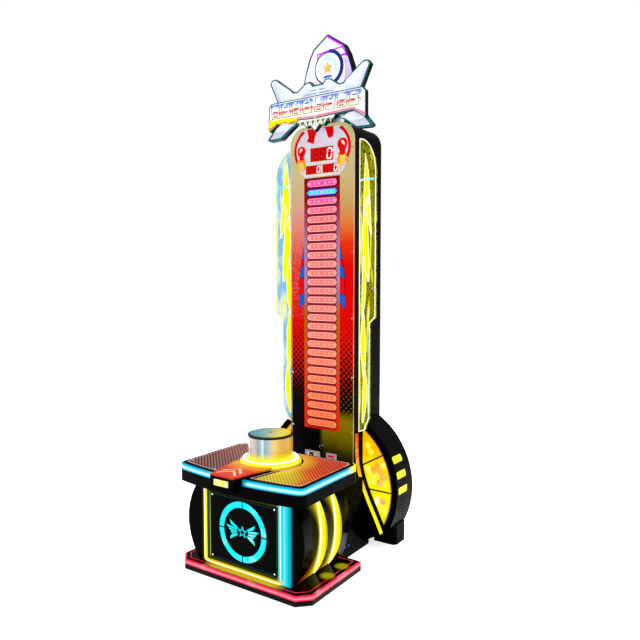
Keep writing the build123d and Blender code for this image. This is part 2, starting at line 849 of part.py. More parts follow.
with BuildPart() as tower_flare:
    with BuildSketch(upright(flare_front)):
        add(flare_body_sketch())
    extrude(amount=-flare_depth)
    with BuildSketch(upright(flare_front)):
        add(flare_strip_sketch())
    extrude(amount=-flare_strip, mode=Mode.SUBTRACT)
    mirror(about=Plane.YZ)
save(tower_flare, "tower_flare")

# ---------------------------------------------------------------- drum fairing
fairing_side = tower_half_width + tower_clearance


def fairing_region(radius, foot, side):
    """Right part of the fairing disc: outside the tower and above its foot."""
    with BuildSketch(mode=Mode.PRIVATE) as region:
        with Locations((0, fairing_z)):
            Circle(radius)
        with Locations((side, foot)):
            Rectangle(2 * fairing_r, 2 * fairing_r, align=(Align.MIN, Align.MIN),
                      mode=Mode.INTERSECT)
    return region.sketch


def lens_region(trim):
    """The three lens panels between the spokes, each drawn in by trim."""
    with BuildSketch(mode=Mode.PRIVATE) as region:
        add(fairing_region(lens_r - trim, lens_foot + trim, fairing_side + 10 + trim))
        for angle in spoke_angles:
            with Locations(Location((0, fairing_z, 0), (0, 0, angle))):
                Rectangle(2 * lens_r, 2 * (spoke_half + trim),
                          align=(Align.MIN, Align.CENTER), mode=Mode.SUBTRACT)
    return region.sketch


with BuildPart() as fairing_rim:
    with BuildSketch(upright(fairing_front + fairing_face)):
        add(fairing_region(fairing_r, fairing_foot, fairing_side))
    extrude(amount=-(fairing_back - fairing_front - fairing_face))
    with BuildSketch(upright(fairing_front + fairing_face)):
        add(fairing_region(fairing_r - fairing_wall, fairing_foot + fairing_wall,
                           fairing_side + fairing_wall))
    inner_depth = fairing_back - fairing_front - fairing_face - fairing_wall
    extrude(amount=-inner_depth, mode=Mode.SUBTRACT)
    for angle in pill_angles:
        spoke = Plane(origin=(0, pill_y, fairing_z), x_dir=(0, 1, 0),
                      z_dir=(math.cos(math.radians(angle)), 0, math.sin(math.radians(angle))))
        with BuildSketch(spoke.offset(fairing_r - fairing_wall - 2)):
            RectangleRounded(pill_length, pill_height, pill_corner_r)
        extrude(amount=2 * fairing_wall, mode=Mode.SUBTRACT)
    mirror(about=Plane.YZ)
save(fairing_rim, "fairing_rim")

with BuildPart() as rim_windows:
    for angle in pill_angles:
        spoke = Plane(origin=(0, pill_y, fairing_z), x_dir=(0, 1, 0),
                      z_dir=(math.cos(math.radians(angle)), 0, math.sin(math.radians(angle))))
        with BuildSketch(spoke.offset(fairing_r - 2 - pill_thick)):
            RectangleRounded(pill_length - 2 * fit_gap, pill_height - 2 * fit_gap,
                             pill_corner_r)
        extrude(amount=pill_thick)
    mirror(about=Plane.YZ)
save(rim_windows, "rim_windows")

with BuildPart() as fairing_front_ring:
    with BuildSketch(upright(fairing_front)):
        add(fairing_region(fairing_r, fairing_foot, fairing_side))
        add(lens_region(0), mode=Mode.SUBTRACT)
    extrude(amount=-fairing_face)
    mirror(about=Plane.YZ)
save(fairing_front_ring, "fairing_front_ring")

with BuildPart() as fairing_lenses:
    with BuildSketch(upright(fairing_front + 2)):
        add(lens_region(fit_gap))
    extrude(amount=2 - fairing_face)
    mirror(about=Plane.YZ)
save(fairing_lenses, "fairing_lenses")

with BuildPart() as rear_feet:
    with BuildSketch():
        foot_width = foot_outer_x - flare_foot_x
        with Locations((flare_foot_x + foot_width / 2, (foot_front + foot_back) / 2)):
            Rectangle(foot_width, foot_back - foot_front)
    extrude(amount=fairing_foot)
    outer = rear_feet.edges().filter_by(Axis.Z).sort_by(Axis.X)[-2:]
    chamfer(outer, foot_chamfer)
    mirror(about=Plane.YZ)
save(rear_feet, "rear_feet")

# ---------------------------------------------------------------- side wings
wing_edge = ((wing_upper, wing_shoulder_z), (wing_upper, wing_step_z),
             (wing_lower, wing_step_foot), (wing_lower, wing_taper_z),
             (wing_tip, wing_low + 20), (0, wing_low), (0, wing_high))
lean = math.radians(wing_sweep)
for side, sign in (("left", -1), ("right", 1)):
    root = Plane(origin=(sign * (tower_half_width + wing_gap), wing_root_y, 0),
                 x_dir=(sign * math.cos(lean), -math.sin(lean), 0),
                 z_dir=(-math.sin(lean), -sign * math.cos(lean), 0))
    with BuildPart() as wing:
        with BuildSketch(root):
            with BuildLine():
                ThreePointArc((0, wing_high), (0.66 * wing_upper, wing_high - wing_round),
                              wing_edge[0])
                Polyline(*wing_edge)
            make_face()
        extrude(amount=sign * wing_thick)
    save(wing, f"wing_{side}")

# ---------------------------------------------------------------- topper
topper_points = ((0, 231), (36, 231), (54, 256), (88, 255), (150, 213), (180, 213),
                 (318, 315), (350, 313), (364, 291), (307, 169), (307, 63), (339, -1),
                 (386, -56), (368, -68), (274, -64), (184, -1), (150, 23), (0, 23))
with BuildPart() as topper_plate:
    with BuildSketch(upright(plate_front)):
        with BuildLine():
            both_sides(topper_points)
        make_face()
    extrude(amount=plate_front - plate_back)
save(topper_plate, "topper_plate")

banner_points = ((0, 158), (330, 158), (352, 135), (352, -9), (345, -17), (268, 35),
                 (150, 27), (132, 3), (96, 9), (64, -25), (34, -17), (0, -53))
with BuildPart() as topper_banner:
    with BuildSketch(upright(banner_front)):
        with BuildLine():
            both_sides(banner_points)
        make_face()
    extrude(amount=banner_front - plate_front)
save(topper_banner, "topper_banner")

with BuildPart() as banner_blocks:
    first = -(block_count - 1) * block_pitch / 2
    for index in range(block_count):
        centre = first + index * block_pitch
        slant = block_slant * (1 if index < block_count / 2 else -1)
        with BuildSketch(upright(block_front)):
            half_w, half_h = block_width / 2, block_height / 2
            with BuildLine():
                Polyline((centre - half_w - slant, block_z + half_h),
                         (centre + half_w - slant, block_z + half_h),
                         (centre + half_w, block_z - half_h),
                         (centre - half_w, block_z - half_h), close=True)
            make_face()
        extrude(amount=block_front - banner_front)
    chamfer(banner_blocks.faces().group_by(Axis.Y)[0].edges(), 5)
save(banner_blocks, "banner_blocks")

bullet_points = ((0, 562), (108, 489), (140, 431), (165, 358), (185, 283), (188, 223),
                 (165, 103), (118, 0), (0, 0))
with BuildPart() as topper_cabinet:
    with BuildSketch(upright(bullet_front)) as bullet:
        with BuildLine():
            both_sides(bullet_points)
        make_face()
    extrude(amount=bullet_front - bullet_back)
    with BuildSketch(upright(bullet_front)):
        add(bullet.sketch)
        offset(amount=-bullet_wall, kind=Kind.INTERSECTION)
    extrude(amount=bullet_front - bullet_back + bullet_wall, mode=Mode.SUBTRACT)
save(topper_cabinet, "topper_cabinet")

with BuildPart() as topper_face:
    with BuildSketch(upright(bullet_front + 1)):
        with BuildLine():
            both_sides(bullet_points)
        make_face()
        offset(amount=-bullet_wall - fit_gap, kind=Kind.INTERSECTION)
    extrude(amount=-bullet_face)
save(topper_face, "topper_face")

with BuildPart() as topper_badge:
    with BuildSketch(upright(bullet_front + 1 - badge_thick)):
        with Locations((0, badge_z)):
            Circle(badge_r)
    extrude(amount=-badge_thick)
save(topper_badge, "topper_badge")

with BuildPart() as topper_bracket:
    with BuildSketch(Plane.XY.offset(tower_top)):
        with Locations((0, (plate_back + bullet_front) / 2)):
            Rectangle(2 * arm_half_width, bullet_front - plate_back)
            Rectangle(2 * (arm_half_width - arm_sheet),
                      bullet_front - plate_back - 2 * arm_sheet, mode=Mode.SUBTRACT)
    extrude(amount=arm_height)
save(topper_bracket, "topper_bracket")

# ---------------------------------------------------------------- rear door
hinge_x = -door_half_width - door_gap - 4
hinge_y = tower_rear + hinge_r
hinge_spots = [door_low + door_hinge_inset, door_mid, door_high - door_hinge_inset]
with BuildPart() as rear_door:
    with BuildSketch(upright(tower_rear - door_thick)):
        with Locations((0, door_mid)):
            Rectangle(*door_size)
        with Locations((cam_x, cam_lock_z)):
            Circle(lock_r + fit_gap, mode=Mode.SUBTRACT)
    extrude(amount=-door_thick)
    for level in hinge_spots:
        with BuildSketch(upright(tower_rear)):
            with Locations((hinge_x, level)):
                Rectangle(leaf_width, leaf_height, align=(Align.MIN, Align.CENTER))
        extrude(amount=-leaf_thick)
        with BuildSketch(Plane.XY.offset(level - leaf_height / 2)):
            with Locations((hinge_x, hinge_y)):
                Circle(hinge_r)
        extrude(amount=leaf_height)
        with BuildSketch(Plane.XY.offset(level - leaf_height / 2)):
            with Locations((hinge_x, hinge_y)):
                Circle(pin_r + bearing_gap)
        extrude(amount=leaf_height, mode=Mode.SUBTRACT)
save(rear_door, "rear_door")

with BuildPart() as hinge_pins:
    for level in hinge_spots:
        low = level - leaf_height / 2 - pin_stub
        with BuildSketch(Plane.XY.offset(low)):
            with Locations((hinge_x, hinge_y)):
                Circle(pin_r)
        extrude(amount=leaf_height + 2 * pin_stub)
        for end in (low, level + leaf_height / 2 + fit_gap):
            with BuildSketch(Plane.XY.offset(end)):
                with Locations((hinge_x, hinge_y)):
                    Circle(hinge_r)
                with Locations((hinge_x, tower_rear)):
                    Rectangle(2 * hinge_r, hinge_r, align=(Align.CENTER, Align.MIN))
            extrude(amount=pin_stub - fit_gap)
save(hinge_pins, "hinge_pins")

barrel_inner_y = tower_rear + lock_face - 1 - lock_length
with BuildPart() as door_lock:
    with BuildSketch(upright(barrel_inner_y)):
        with Locations((cam_x, cam_lock_z)):
            Circle(lock_r)
    extrude(amount=-lock_length)
    with BuildSketch(upright(barrel_inner_y - 2)):
        with Locations((cam_x, cam_lock_z - cam_size[1] / 2 + cam_size[0] / 2)):
            Rectangle(*cam_size)
    extrude(amount=-2)
    with BuildSketch(upright(tower_rear)):
        with Locations((cam_x, cam_lock_z)):
            Rectangle(*key_slot)
    extrude(amount=-lock_face, mode=Mode.SUBTRACT)
save(door_lock, "door_lock")

with BuildPart() as power_inlet:
    inlet_back = tower_rear + inlet_face
    with BuildSketch(upright(inlet_back - inlet_size[2])):
        with Locations((inlet_x, inlet_z)):
            Rectangle(*[size - 2 * fit_gap for size in inlet_hole])
    extrude(amount=-inlet_size[2])
    with BuildSketch(upright(tower_rear)):
        with Locations((inlet_x, inlet_z)):
            Rectangle(*inlet_size[:2])
    extrude(amount=-inlet_face)
    with BuildSketch(upright(inlet_back - inlet_cavity[2])):
        with Locations((inlet_x, inlet_z)):
            Rectangle(*inlet_cavity[:2])
    extrude(amount=-inlet_cavity[2], mode=Mode.SUBTRACT)
save(power_inlet, "power_inlet")

# ---------------------------------------------------------------- inside the tower
with BuildPart() as control_board:
    side_wall = tower_half_width - sheet
    with Locations((side_wall - 9, board_y, board_z)):
        Box(*board_size)
        with GridLocations(0, board_size[1] - 20, 1, 2):
            for rise in (-board_size[2] / 2 + 10, board_size[2] / 2 - 10):
                with Locations((4, 0, rise)):
                    Box(10, 8, 8)
save(control_board, "control_board")

with BuildPart() as power_supply:
    with Locations((*supply_spot, floor_gap + sheet)):
        Box(*supply_size, align=(Align.CENTER, Align.CENTER, Align.MIN))
save(power_supply, "power_supply")

with BuildPart() as speaker:
    stacked = ((speaker_cone_r, 0, 18), (speaker_magnet_r, 18, 34))
    for radius, start, deep in stacked:
        with BuildSketch(Plane.YZ.offset(start - side_wall)):
            with Locations((speaker_y, speaker_z)):
                Circle(radius)
        extrude(amount=deep)
save(speaker, "speaker")


# ---------------------------------------------------------------- fasteners
with BuildPart() as screws:
    for spots, seat in ((panel_screw_spots, fascia_y), (tower_screw_spots, tower_front)):
        with BuildSketch(upright(seat - screw_head_thick)):
            with Locations(*spots):
                Circle(screw_head_r)
        extrude(amount=-screw_head_thick)
        with BuildSketch(upright(seat)):
            with Locations(*spots):
                Circle(screw_shank_r - 0.05)
        extrude(amount=-screw_shank)
save(screws, "screws")
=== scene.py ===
import bmesh
import bpy
import math
from mathutils import Matrix, Vector


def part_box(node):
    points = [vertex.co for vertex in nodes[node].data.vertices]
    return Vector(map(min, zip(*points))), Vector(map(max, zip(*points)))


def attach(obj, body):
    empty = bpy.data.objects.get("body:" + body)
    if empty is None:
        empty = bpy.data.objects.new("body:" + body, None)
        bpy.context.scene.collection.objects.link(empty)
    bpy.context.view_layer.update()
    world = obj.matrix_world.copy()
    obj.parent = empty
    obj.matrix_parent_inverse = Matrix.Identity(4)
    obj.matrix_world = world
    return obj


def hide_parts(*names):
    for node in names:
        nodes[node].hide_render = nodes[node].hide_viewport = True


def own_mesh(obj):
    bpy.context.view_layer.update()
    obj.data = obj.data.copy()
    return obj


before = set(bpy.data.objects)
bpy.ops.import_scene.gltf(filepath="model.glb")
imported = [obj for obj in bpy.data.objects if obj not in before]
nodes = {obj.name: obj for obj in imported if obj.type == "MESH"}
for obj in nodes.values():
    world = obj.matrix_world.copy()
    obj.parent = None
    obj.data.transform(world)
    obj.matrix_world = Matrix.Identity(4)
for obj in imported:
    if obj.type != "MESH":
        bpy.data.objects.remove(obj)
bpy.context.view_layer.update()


# ------------------------------------------------------------------ finishes
def tint(code):
    """Linear colour from a six-digit screen colour."""
    parts = [int(code[i:i + 2], 16) / 255 for i in (0, 2, 4)]
    return [c / 12.92 if c <= 0.04045 else ((c + 0.055) / 1.055) ** 2.4 for c in parts]


class Finish:
    """One surface finish: a shader and the pattern nodes that feed it."""

    def __init__(self, name, colour="808080", rough=0.4, metal=0.0, shine=0.06, coat=0.0):
        self.paint = bpy.data.materials.new(name)
        self.paint.use_nodes = True
        self.tree = self.paint.node_tree
        self.shader = self.tree.nodes["Principled BSDF"]
        for socket, value in (("Base Color", (*tint(colour), 1)), ("Roughness", rough),
                              ("Metallic", metal), ("Specular IOR Level", shine),
                              ("Coat Weight", coat)):
            self.shader.inputs[socket].default_value = value
        self.where = self.node("TexCoord").outputs["Object"]
        self.x, self.y, self.z = self.node("SeparateXYZ", Vector=self.where).outputs

    def node(self, kind, **settings):
        """A shader node; settings are its inputs or its options."""
        made = self.tree.nodes.new("ShaderNode" + kind)
        for key, value in settings.items():
            if key in made.inputs:
                self.feed(value, made.inputs[key])
            else:
                setattr(made, key, value)
        return made

    def feed(self, value, socket):
        """Links a node's output to the socket, or sets the socket to a value."""
        if isinstance(value, bpy.types.NodeSocket):
            self.tree.links.new(value, socket)
        else:
            socket.default_value = value

    def filled(self, made, *values):
        """Feeds a node's first inputs in order, and gives its first output."""
        for socket, value in zip(made.inputs, values):
            self.feed(value, socket)
        return made.outputs[0]

    def maths(self, operation, a, b=0.0):
        return self.filled(self.node("Math", operation=operation), a, b)

    def plus(self, a, b):
        return self.maths("ADD", a, b)

    def minus(self, a, b):
        return self.maths("SUBTRACT", a, b)

    def magnitude(self, value):
        return self.maths("ABSOLUTE", value)

    def length(self, a, b):
        """Length of the slope whose sides are a and b."""
        return self.maths("SQRT", self.plus(self.both(a, a), self.both(b, b)))

    def wrap(self, value, half):
        """Value repeated over the range from -half to half."""
        return self.filled(self.node("Math", operation="WRAP"), value, half, -half)

    def span(self, value, start, end):
        """0 up to start and 1 from end on, with a soft step between; end may be the lower."""
        step = self.node("MapRange", interpolation_type="SMOOTHSTEP")
        rising = self.filled(step, value, min(start, end), max(start, end))
        return rising if end > start else self.minus(1.0, rising)

    def both(self, *factors):
        """Product of the factors: 1 only where all are 1."""
        result = factors[0]
        for factor in factors[1:]:
            result = self.maths("MULTIPLY", result, factor)
        return result

    def either(self, a, b):
        """The larger factor: 1 where one of them is 1."""
        return self.maths("MAXIMUM", a, b)

    def reach(self, x=None, y=None, z=None):
        """Distance from a line or point: only the axes that are given count."""
        total = None
        for axis, centre in ((self.x, x), (self.y, y), (self.z, z)):
            if centre is not None:
                offset = self.minus(axis, centre)
                square = self.both(offset, offset)
                total = square if total is None else self.plus(total, square)
        return self.maths("SQRT", total)

    def ramp(self, factor, stops):
        """Colour by factor; stops are (position, screen colour) in rising order."""
        made = self.node("ValToRGB", Fac=factor)
        band = made.color_ramp
        while len(band.elements) < len(stops):
            band.elements.new(1.0)
        for element, (position, code) in zip(band.elements, stops):
            element.position = position
            element.color = (*tint(code), 1)
        return made.outputs["Color"]

    def up(self, stops):
        """Colour by height in metres."""
        foot, top = stops[0][0], stops[-1][0]
        height = self.filled(self.node("MapRange"), self.z, foot, top)
        return self.ramp(height, [((z - foot) / (top - foot), code) for z, code in stops])

    def layer(self, under, over, factor):
        """One colour over another, as far as factor goes."""
        made = self.node("Mix", data_type="RGBA")
        for index, value in ((0, factor), (6, under), (7, over)):
            if isinstance(value, str):
                value = (*tint(value), 1)
            self.feed(value, made.inputs[index])
        return made.outputs[2]

    def noise(self, scale, detail=3.0, stretch=(1, 1, 1)):
        """Soft noise from 0 to 1; stretch is its fineness along each axis."""
        where = self.node("Mapping", Vector=self.where)
        where.inputs["Scale"].default_value = stretch
        return self.node("TexNoise", Vector=where.outputs[0], Scale=scale,
                         Detail=detail).outputs[0]

    def stripes(self, along, pitch, share):
        """1 on a stripe and 0 between stripes; share is the stripe's part of the pitch."""
        cell = self.maths("PINGPONG", along, pitch / 2)
        edge = share * pitch / 2
        return self.span(cell, edge * 1.25, edge * 0.75)

    def colour(self, value, glow=0.0):
        """Feeds the surface colour, and makes the surface give off light of that colour when glow
        is above 0.
        """
        self.feed(self.layer("000000", value, 0.3) if glow else value,
                  self.shader.inputs["Base Color"])
        if glow:
            self.feed(value, self.shader.inputs["Emission Color"])
            self.shader.inputs["Emission Strength"].default_value = glow

    def light(self, value, strength):
        """Makes a lamp's surface: nearly all of its colour is its own light."""
        if isinstance(value, str):
            value = (*tint(value), 1)
        self.feed(value, self.shader.inputs["Emission Color"])
        self.feed(self.layer("000000", value, 0.1), self.shader.inputs["Base Color"])
        self.shader.inputs["Emission Strength"].default_value = strength

    def patchy(self, scale, smooth, dull, detail=3.0, stretch=(1, 1, 1)):
        """Roughness that varies between two values, as handled surfaces do."""
        rough = self.filled(self.node("MapRange"), self.noise(scale, detail, stretch),
                            0.3, 0.7, smooth, dull)
        self.feed(rough, self.shader.inputs["Roughness"])

    def relief(self, height, depth):
        """Fine bumps of a given depth in metres."""
        made = self.node("Bump", Height=height, Strength=1.0, Distance=depth)
        self.feed(made.outputs[0], self.shader.inputs["Normal"])

    def wear(self, *names):
        """Puts the finish on CAD pieces."""
        for name in names:
            data = nodes[name].data
            data.materials.clear()
            data.materials.append(self.paint)
        return self


def facing_player(m):
    """1 on faces that look towards the player, 0 on sides and backs."""
    out = m.node("SeparateXYZ", Vector=m.node("TexCoord").outputs["Normal"]).outputs[1]
    return m.span(out, -0.5, -0.8)


# ------------------------------------------------------------------ sizes read from the frame
def low(node):
    """Lowest corner of a CAD node's box."""
    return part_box(node)[0]


def high(node):
    """Highest corner of a CAD node's box."""
    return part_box(node)[1]


base_top = high("base_plinth").z
fascia = low("front_cabinet").y
panel_low, panel_high = low("front_panel").z, high("front_panel").z
panel_half = high("front_panel").x
ring_centre = (low("front_ring_light").z + high("front_ring_light").z) / 2
deck_top = low("drum_flange").z
deck_half = high("table_deck").x
tongue_top = high("tongue_plate").z
drum_centre = (low("drum_skirt").y + high("drum_skirt").y) / 2
drum_radius = high("drum_skirt").x
drum_top = high("drum_cap").z
tower_front = low("tower_panel").y
tower_top = high("tower_panel").z
tower_half = high("tower_panel").x
frame_half = high("lamp_frame").x
lamp_count = 28
lamp_low = low("lamp_lenses").z
lamp_high = high("lamp_lenses").z
lamp_tall = 0.0409
lamp_pitch = (lamp_high - lamp_low - lamp_tall) / (lamp_count - 1)
lamp_first = lamp_low + lamp_tall / 2
lamp_half = high("lamp_lenses").x
crown_front = low("topper_plate").y
banner_front = low("topper_banner").y
block_front = low("banner_blocks").y
bullet_front = low("topper_cabinet").y
rear = high("tower_shell").y
block_low, block_high = low("banner_blocks").z, high("banner_blocks").z
fairing_front = low("fairing_front_ring").y
fairing_centre = 0.343


# ------------------------------------------------------------------ making pieces
def upright(front):
    """Places a flat drawing on a plane facing the player; its thickness comes forward."""
    return Matrix(((1, 0, 0, 0), (0, 0, -1, front), (0, 1, 0, 0), (0, 0, 0, 1)))


on_front, on_tower = upright(fascia), upright(tower_front)


def on_deck(top):
    """Places a flat drawing on a level surface; its thickness goes up."""
    return Matrix.Translation((0, 0, top))


def on_back(rear_plane):
    """Places a flat drawing on the machine's back; its thickness comes out."""
    return Matrix(((-1, 0, 0, 0), (0, 0, 1, rear_plane), (0, 1, 0, 0), (0, 0, 0, 1)))


def keep(bm, name, finish, body="cabinet", crease=35, round_over=0.0):
    """Turns finished mesh work into a named piece that rides on its body."""
    bmesh.ops.remove_doubles(bm, verts=bm.verts, dist=0.00002)
    if round_over:
        sharp = [e for e in bm.edges if len(e.link_faces) == 2
                 and e.calc_face_angle(0) > math.radians(crease)]
        bmesh.ops.bevel(bm, geom=sharp, offset=round_over, affect="EDGES", segments=2,
                        profile=0.5, material=-1, clamp_overlap=True)
    bmesh.ops.recalc_face_normals(bm, faces=bm.faces)
    data = bpy.data.meshes.new(name)
    bm.to_mesh(data)
    bm.free()
    for face in data.polygons:
        face.use_smooth = True
    data.set_sharp_from_angle(angle=math.radians(crease))
    data.materials.append(finish.paint)
    piece = bpy.data.objects.new(name, data)
    bpy.context.scene.collection.objects.link(piece)
    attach(piece, body)
    return piece


def draw(bm, outline, thick, place, rim=0.0):
    """Adds one closed plate drawn by its outline, or only its rim of that width."""
    face = bm.faces.new([bm.verts.new((u, v, 0)) for u, v in outline])
    face.normal_update()
    if face.normal.z < 0:
        face.normal_flip()
    faces = [face]
    if rim:
        made = bmesh.ops.inset_region(bm, faces=[face], thickness=rim, use_even_offset=True,
                                      use_boundary=True)
        bmesh.ops.delete(bm, geom=[face], context="FACES")
        faces = made["faces"]
    foot = list({v for f in faces for v in f.verts})
    top = bmesh.ops.extrude_face_region(bm, geom=faces, use_keep_orig=True)["geom"]
    lifted = [g for g in top if isinstance(g, bmesh.types.BMVert)]
    bmesh.ops.translate(bm, verts=lifted, vec=(0, 0, thick))
    bmesh.ops.transform(bm, matrix=place, verts=foot + lifted)


def inlay(name, outlines, thick, place, finish, rim=0.0, body="cabinet",
          round_over=0.0):
    """A piece made of thin plates, each from its own outline."""
    bm = bmesh.new()
    for outline in outlines:
        draw(bm, outline, thick, place, rim)
    return keep(bm, name, finish, body, round_over=round_over)


def arc(centre, radius, start, end, steps):
    """Points on an arc, with angles in degrees from the first axis."""
    turns = [math.radians(start + (end - start) * k / steps) for k in range(steps + 1)]
    return [(centre[0] + radius * math.cos(t), centre[1] + radius * math.sin(t))
            for t in turns]


def mirrored(outline):
    """The same outline on the other side of the middle line."""
    return [(-u, v) for u, v in reversed(outline)]


def pair(*outlines):
    """Outlines, then their mirror images."""
    return [*outlines, *(mirrored(outline) for outline in outlines)]


def whole(half):
    """Closed outline from its right half, whose two ends are on the middle line."""
    return half + mirrored(half)[1:-1]


def raised(points):
    """Outline from points in millimetres, measured up from the middle of the tower's top."""
    return [(x / 1000, tower_top + z / 1000) for x, z in points]


def star_outline(centre, reach, waist):
    """Five-pointed star with one tip up."""
    turns = [math.radians(90 + 36 * k) for k in range(10)]
    return [(centre[0] + radius * math.cos(turn), centre[1] + radius * math.sin(turn))
            for turn, radius in zip(turns, (reach, waist) * 5)]


def capsule(centre, length, height, steps=10):
    """Long outline with round ends."""
    half, radius = (length - height) / 2, height / 2
    return (arc((centre[0] + half, centre[1]), radius, -90, 90, steps)
            + arc((centre[0] - half, centre[1]), radius, 90, 270, steps))


def box_outline(centre, width, height):
    """Upright rectangle round a centre."""
    (u, v), half_w, half_h = centre, width / 2, height / 2
    return [(u - half_w, v - half_h), (u + half_w, v - half_h),
            (u + half_w, v + half_h), (u - half_w, v + half_h)]


# ------------------------------------------------------------------ finishes of the CAD pieces
def black_lacquer(name, rough=0.22, shine=0.012):
    """Near-black gloss paint with faint orange peel."""
    m = Finish(name, "020203", rough, shine=shine)
    m.patchy(9, rough - 0.07, rough + 0.1, detail=5, stretch=(1, 1, 2.5))
    m.relief(m.noise(420, 2), 0.00006)
    return m


def lit_from_edge(m, value, factor, strength=1.0):
    """Paints the light that a lamp beside a black surface throws on it."""
    m.light(m.layer("000000", value, factor), strength)


board = black_lacquer("black_board")
board.wear("link_body", "table_deck", "rear_feet", "tower_flare")

# Painted glow of the neon tube on the fascia: dark olive yellow beside the left leg, cyan beside
# the right leg.
front_board = black_lacquer("fascia_board_painted_glow")
on_fascia = front_board.span(front_board.y, fascia + 0.004, fascia + 0.001)
right_side = front_board.span(front_board.x, 0.225, 0.262)
from_tube = front_board.minus(front_board.magnitude(front_board.x),
                              front_board.both(right_side, 0.034))
tube_halo = front_board.both(on_fascia, front_board.span(from_tube, 0.304, 0.286),
                             front_board.span(front_board.z, 0.055, 0.07))
cyan_halo = front_board.ramp(front_board.span(front_board.x, 0.274, 0.340), [
    (0, "70f0f4"), (0.35, "00d4e8"), (0.8, "00a0b4"), (1, "006070")])
lit_from_edge(front_board, front_board.layer("3a3a00", cyan_halo, right_side), tube_halo)
front_board.wear("front_cabinet")

# Painted light on the plinth's top: a yellow pool of the neon tube's light in front of the fascia
# and two spots of gill light on the right, streaked by a fine painted hatch.
plinth = black_lacquer("plinth_lacquer_painted_glow", 0.16, 0.06)
glow_hatch = plinth.stripes(plinth.plus(plinth.x, plinth.y), 0.009, 0.6)
on_top = plinth.span(plinth.z, base_top - 0.002, base_top - 0.0005)
tube_light_pool = plinth.both(plinth.span(plinth.magnitude(plinth.minus(plinth.x, 0.02)), 0.29, 0.19),
                   plinth.span(plinth.y, fascia - 0.052, fascia - 0.040),
                   plinth.span(plinth.y, fascia + 0.003, fascia - 0.003), on_top)
gill_glow_front = plinth.span(plinth.reach(x=0.395, y=-0.235), 0.05, 0.02)
gill_glow_back = plinth.span(plinth.reach(x=0.398, y=-0.095), 0.05, 0.02)
gill_glow_spots = plinth.both(plinth.either(gill_glow_front, gill_glow_back), on_top)
lit_from_edge(plinth, plinth.layer("8c9400", "dce000", glow_hatch),
              plinth.either(tube_light_pool, plinth.both(gill_glow_spots, 0.6)), 0.8)
plinth.wear("base_plinth")

# Painted light on the side shells: each gill's yellow glow thrown forward on the shell, fading
# with distance ahead of the gill.
shell = black_lacquer("side_shell_lacquer_painted_glow", 0.18)
belly_z = 0.284
from_belly = shell.reach(z=belly_z)
throw = shell.plus(0.035, shell.both(from_belly, from_belly, 3.2))
gill_glow = None
for gill_y in (low("gill_lights").y, high("gill_lights").y - 0.008):
    ahead = shell.minus(gill_y + 0.002, shell.y)
    near = shell.both(shell.minus(1.0, shell.maths("DIVIDE", ahead, throw)),
                      shell.span(ahead, -0.001, 0.001))
    gill_glow = near if gill_glow is None else shell.either(gill_glow, near)
lemon_glow = shell.ramp(gill_glow, [(0, "000000"), (0.3, "2c2600"), (0.6, "807200"),
                               (0.85, "d8c800"), (1, "fff200")])
# Painted red tint of the gill glow low on the shell.
low_red_glow = shell.both(shell.span(shell.z, 0.19, 0.10), shell.span(gill_glow, 0.5, 0.2), 0.7)
lit_from_edge(shell, shell.layer(lemon_glow, "b83000", low_red_glow),
              shell.both(shell.span(gill_glow, 0.0, 0.25), shell.span(from_belly, 0.224, 0.212)))
shell.wear("side_shells")

case = black_lacquer("tower_case_powder", 0.4, 0.02)
case.shader.inputs["Base Color"].default_value = (*tint("0b0b0d"), 1)
case.relief(case.noise(900, 2), 0.00025)
case.wear("tower_shell", "topper_cabinet", "rear_door", "fairing_rim")
fairing_black = black_lacquer("fairing_ring_gloss", 0.2)
fairing_black.wear("fairing_front_ring")

pink = Finish("base_strip_diffuser", "ff5068", 0.35)
pink_core = pink.up([(0.030, "c8002c"), (0.036, "ff2a50"), (0.042, "ff8f9c"),
                     (0.046, "ff6c80"), (0.052, "ff3c5c"), (0.057, "d80034")])
pink.light(pink.layer(pink_core, "ff9aa6", pink.both(
    pink.span(pink.noise(9, 2, (1, 1, 0.2)), 0.5, 0.66), 0.5)), 1.25)
pink.wear("base_light")

cyan = Finish("cyan_diffuser", "00e8ee", 0.4)
cyan.light(cyan.layer("00dbe6", "7ff4f6", cyan.span(cyan.noise(16, 3), 0.5, 0.72)), 1.3)
cyan.wear("front_ring_light", "front_emblem")

neon = Finish("neon_tube_glow", "ffffff", 0.3)
tube_x = high("neon_tube").x - 0.008
left_leg = neon.span(neon.x, -tube_x + 0.03, -tube_x + 0.01)
right_leg = neon.span(neon.x, tube_x - 0.02, tube_x - 0.008)
from_core = neon.reach(x=-tube_x + 0.001)
leg_yellow = neon.ramp(neon.span(from_core, 0.001, 0.006), [(0, "ffffd8"), (1, "f0e000")])
leg_cyan = neon.ramp(neon.span(neon.x, tube_x - 0.005, tube_x + 0.003),
                     [(0, "f4ffff"), (0.5, "a8f4f8"), (1, "00c4d6")])
foot_gold = neon.ramp(neon.span(neon.reach(z=0.070), 0.0015, 0.007),
                      [(0, "fff0d8"), (0.6, "f2d600"), (1, "c8b000")])
neon.light(neon.layer(neon.layer(foot_gold, leg_yellow, left_leg), leg_cyan,
                      neon.both(right_leg, neon.span(neon.z, 0.075, 0.10))), 1.3)
neon.wear("neon_tube")

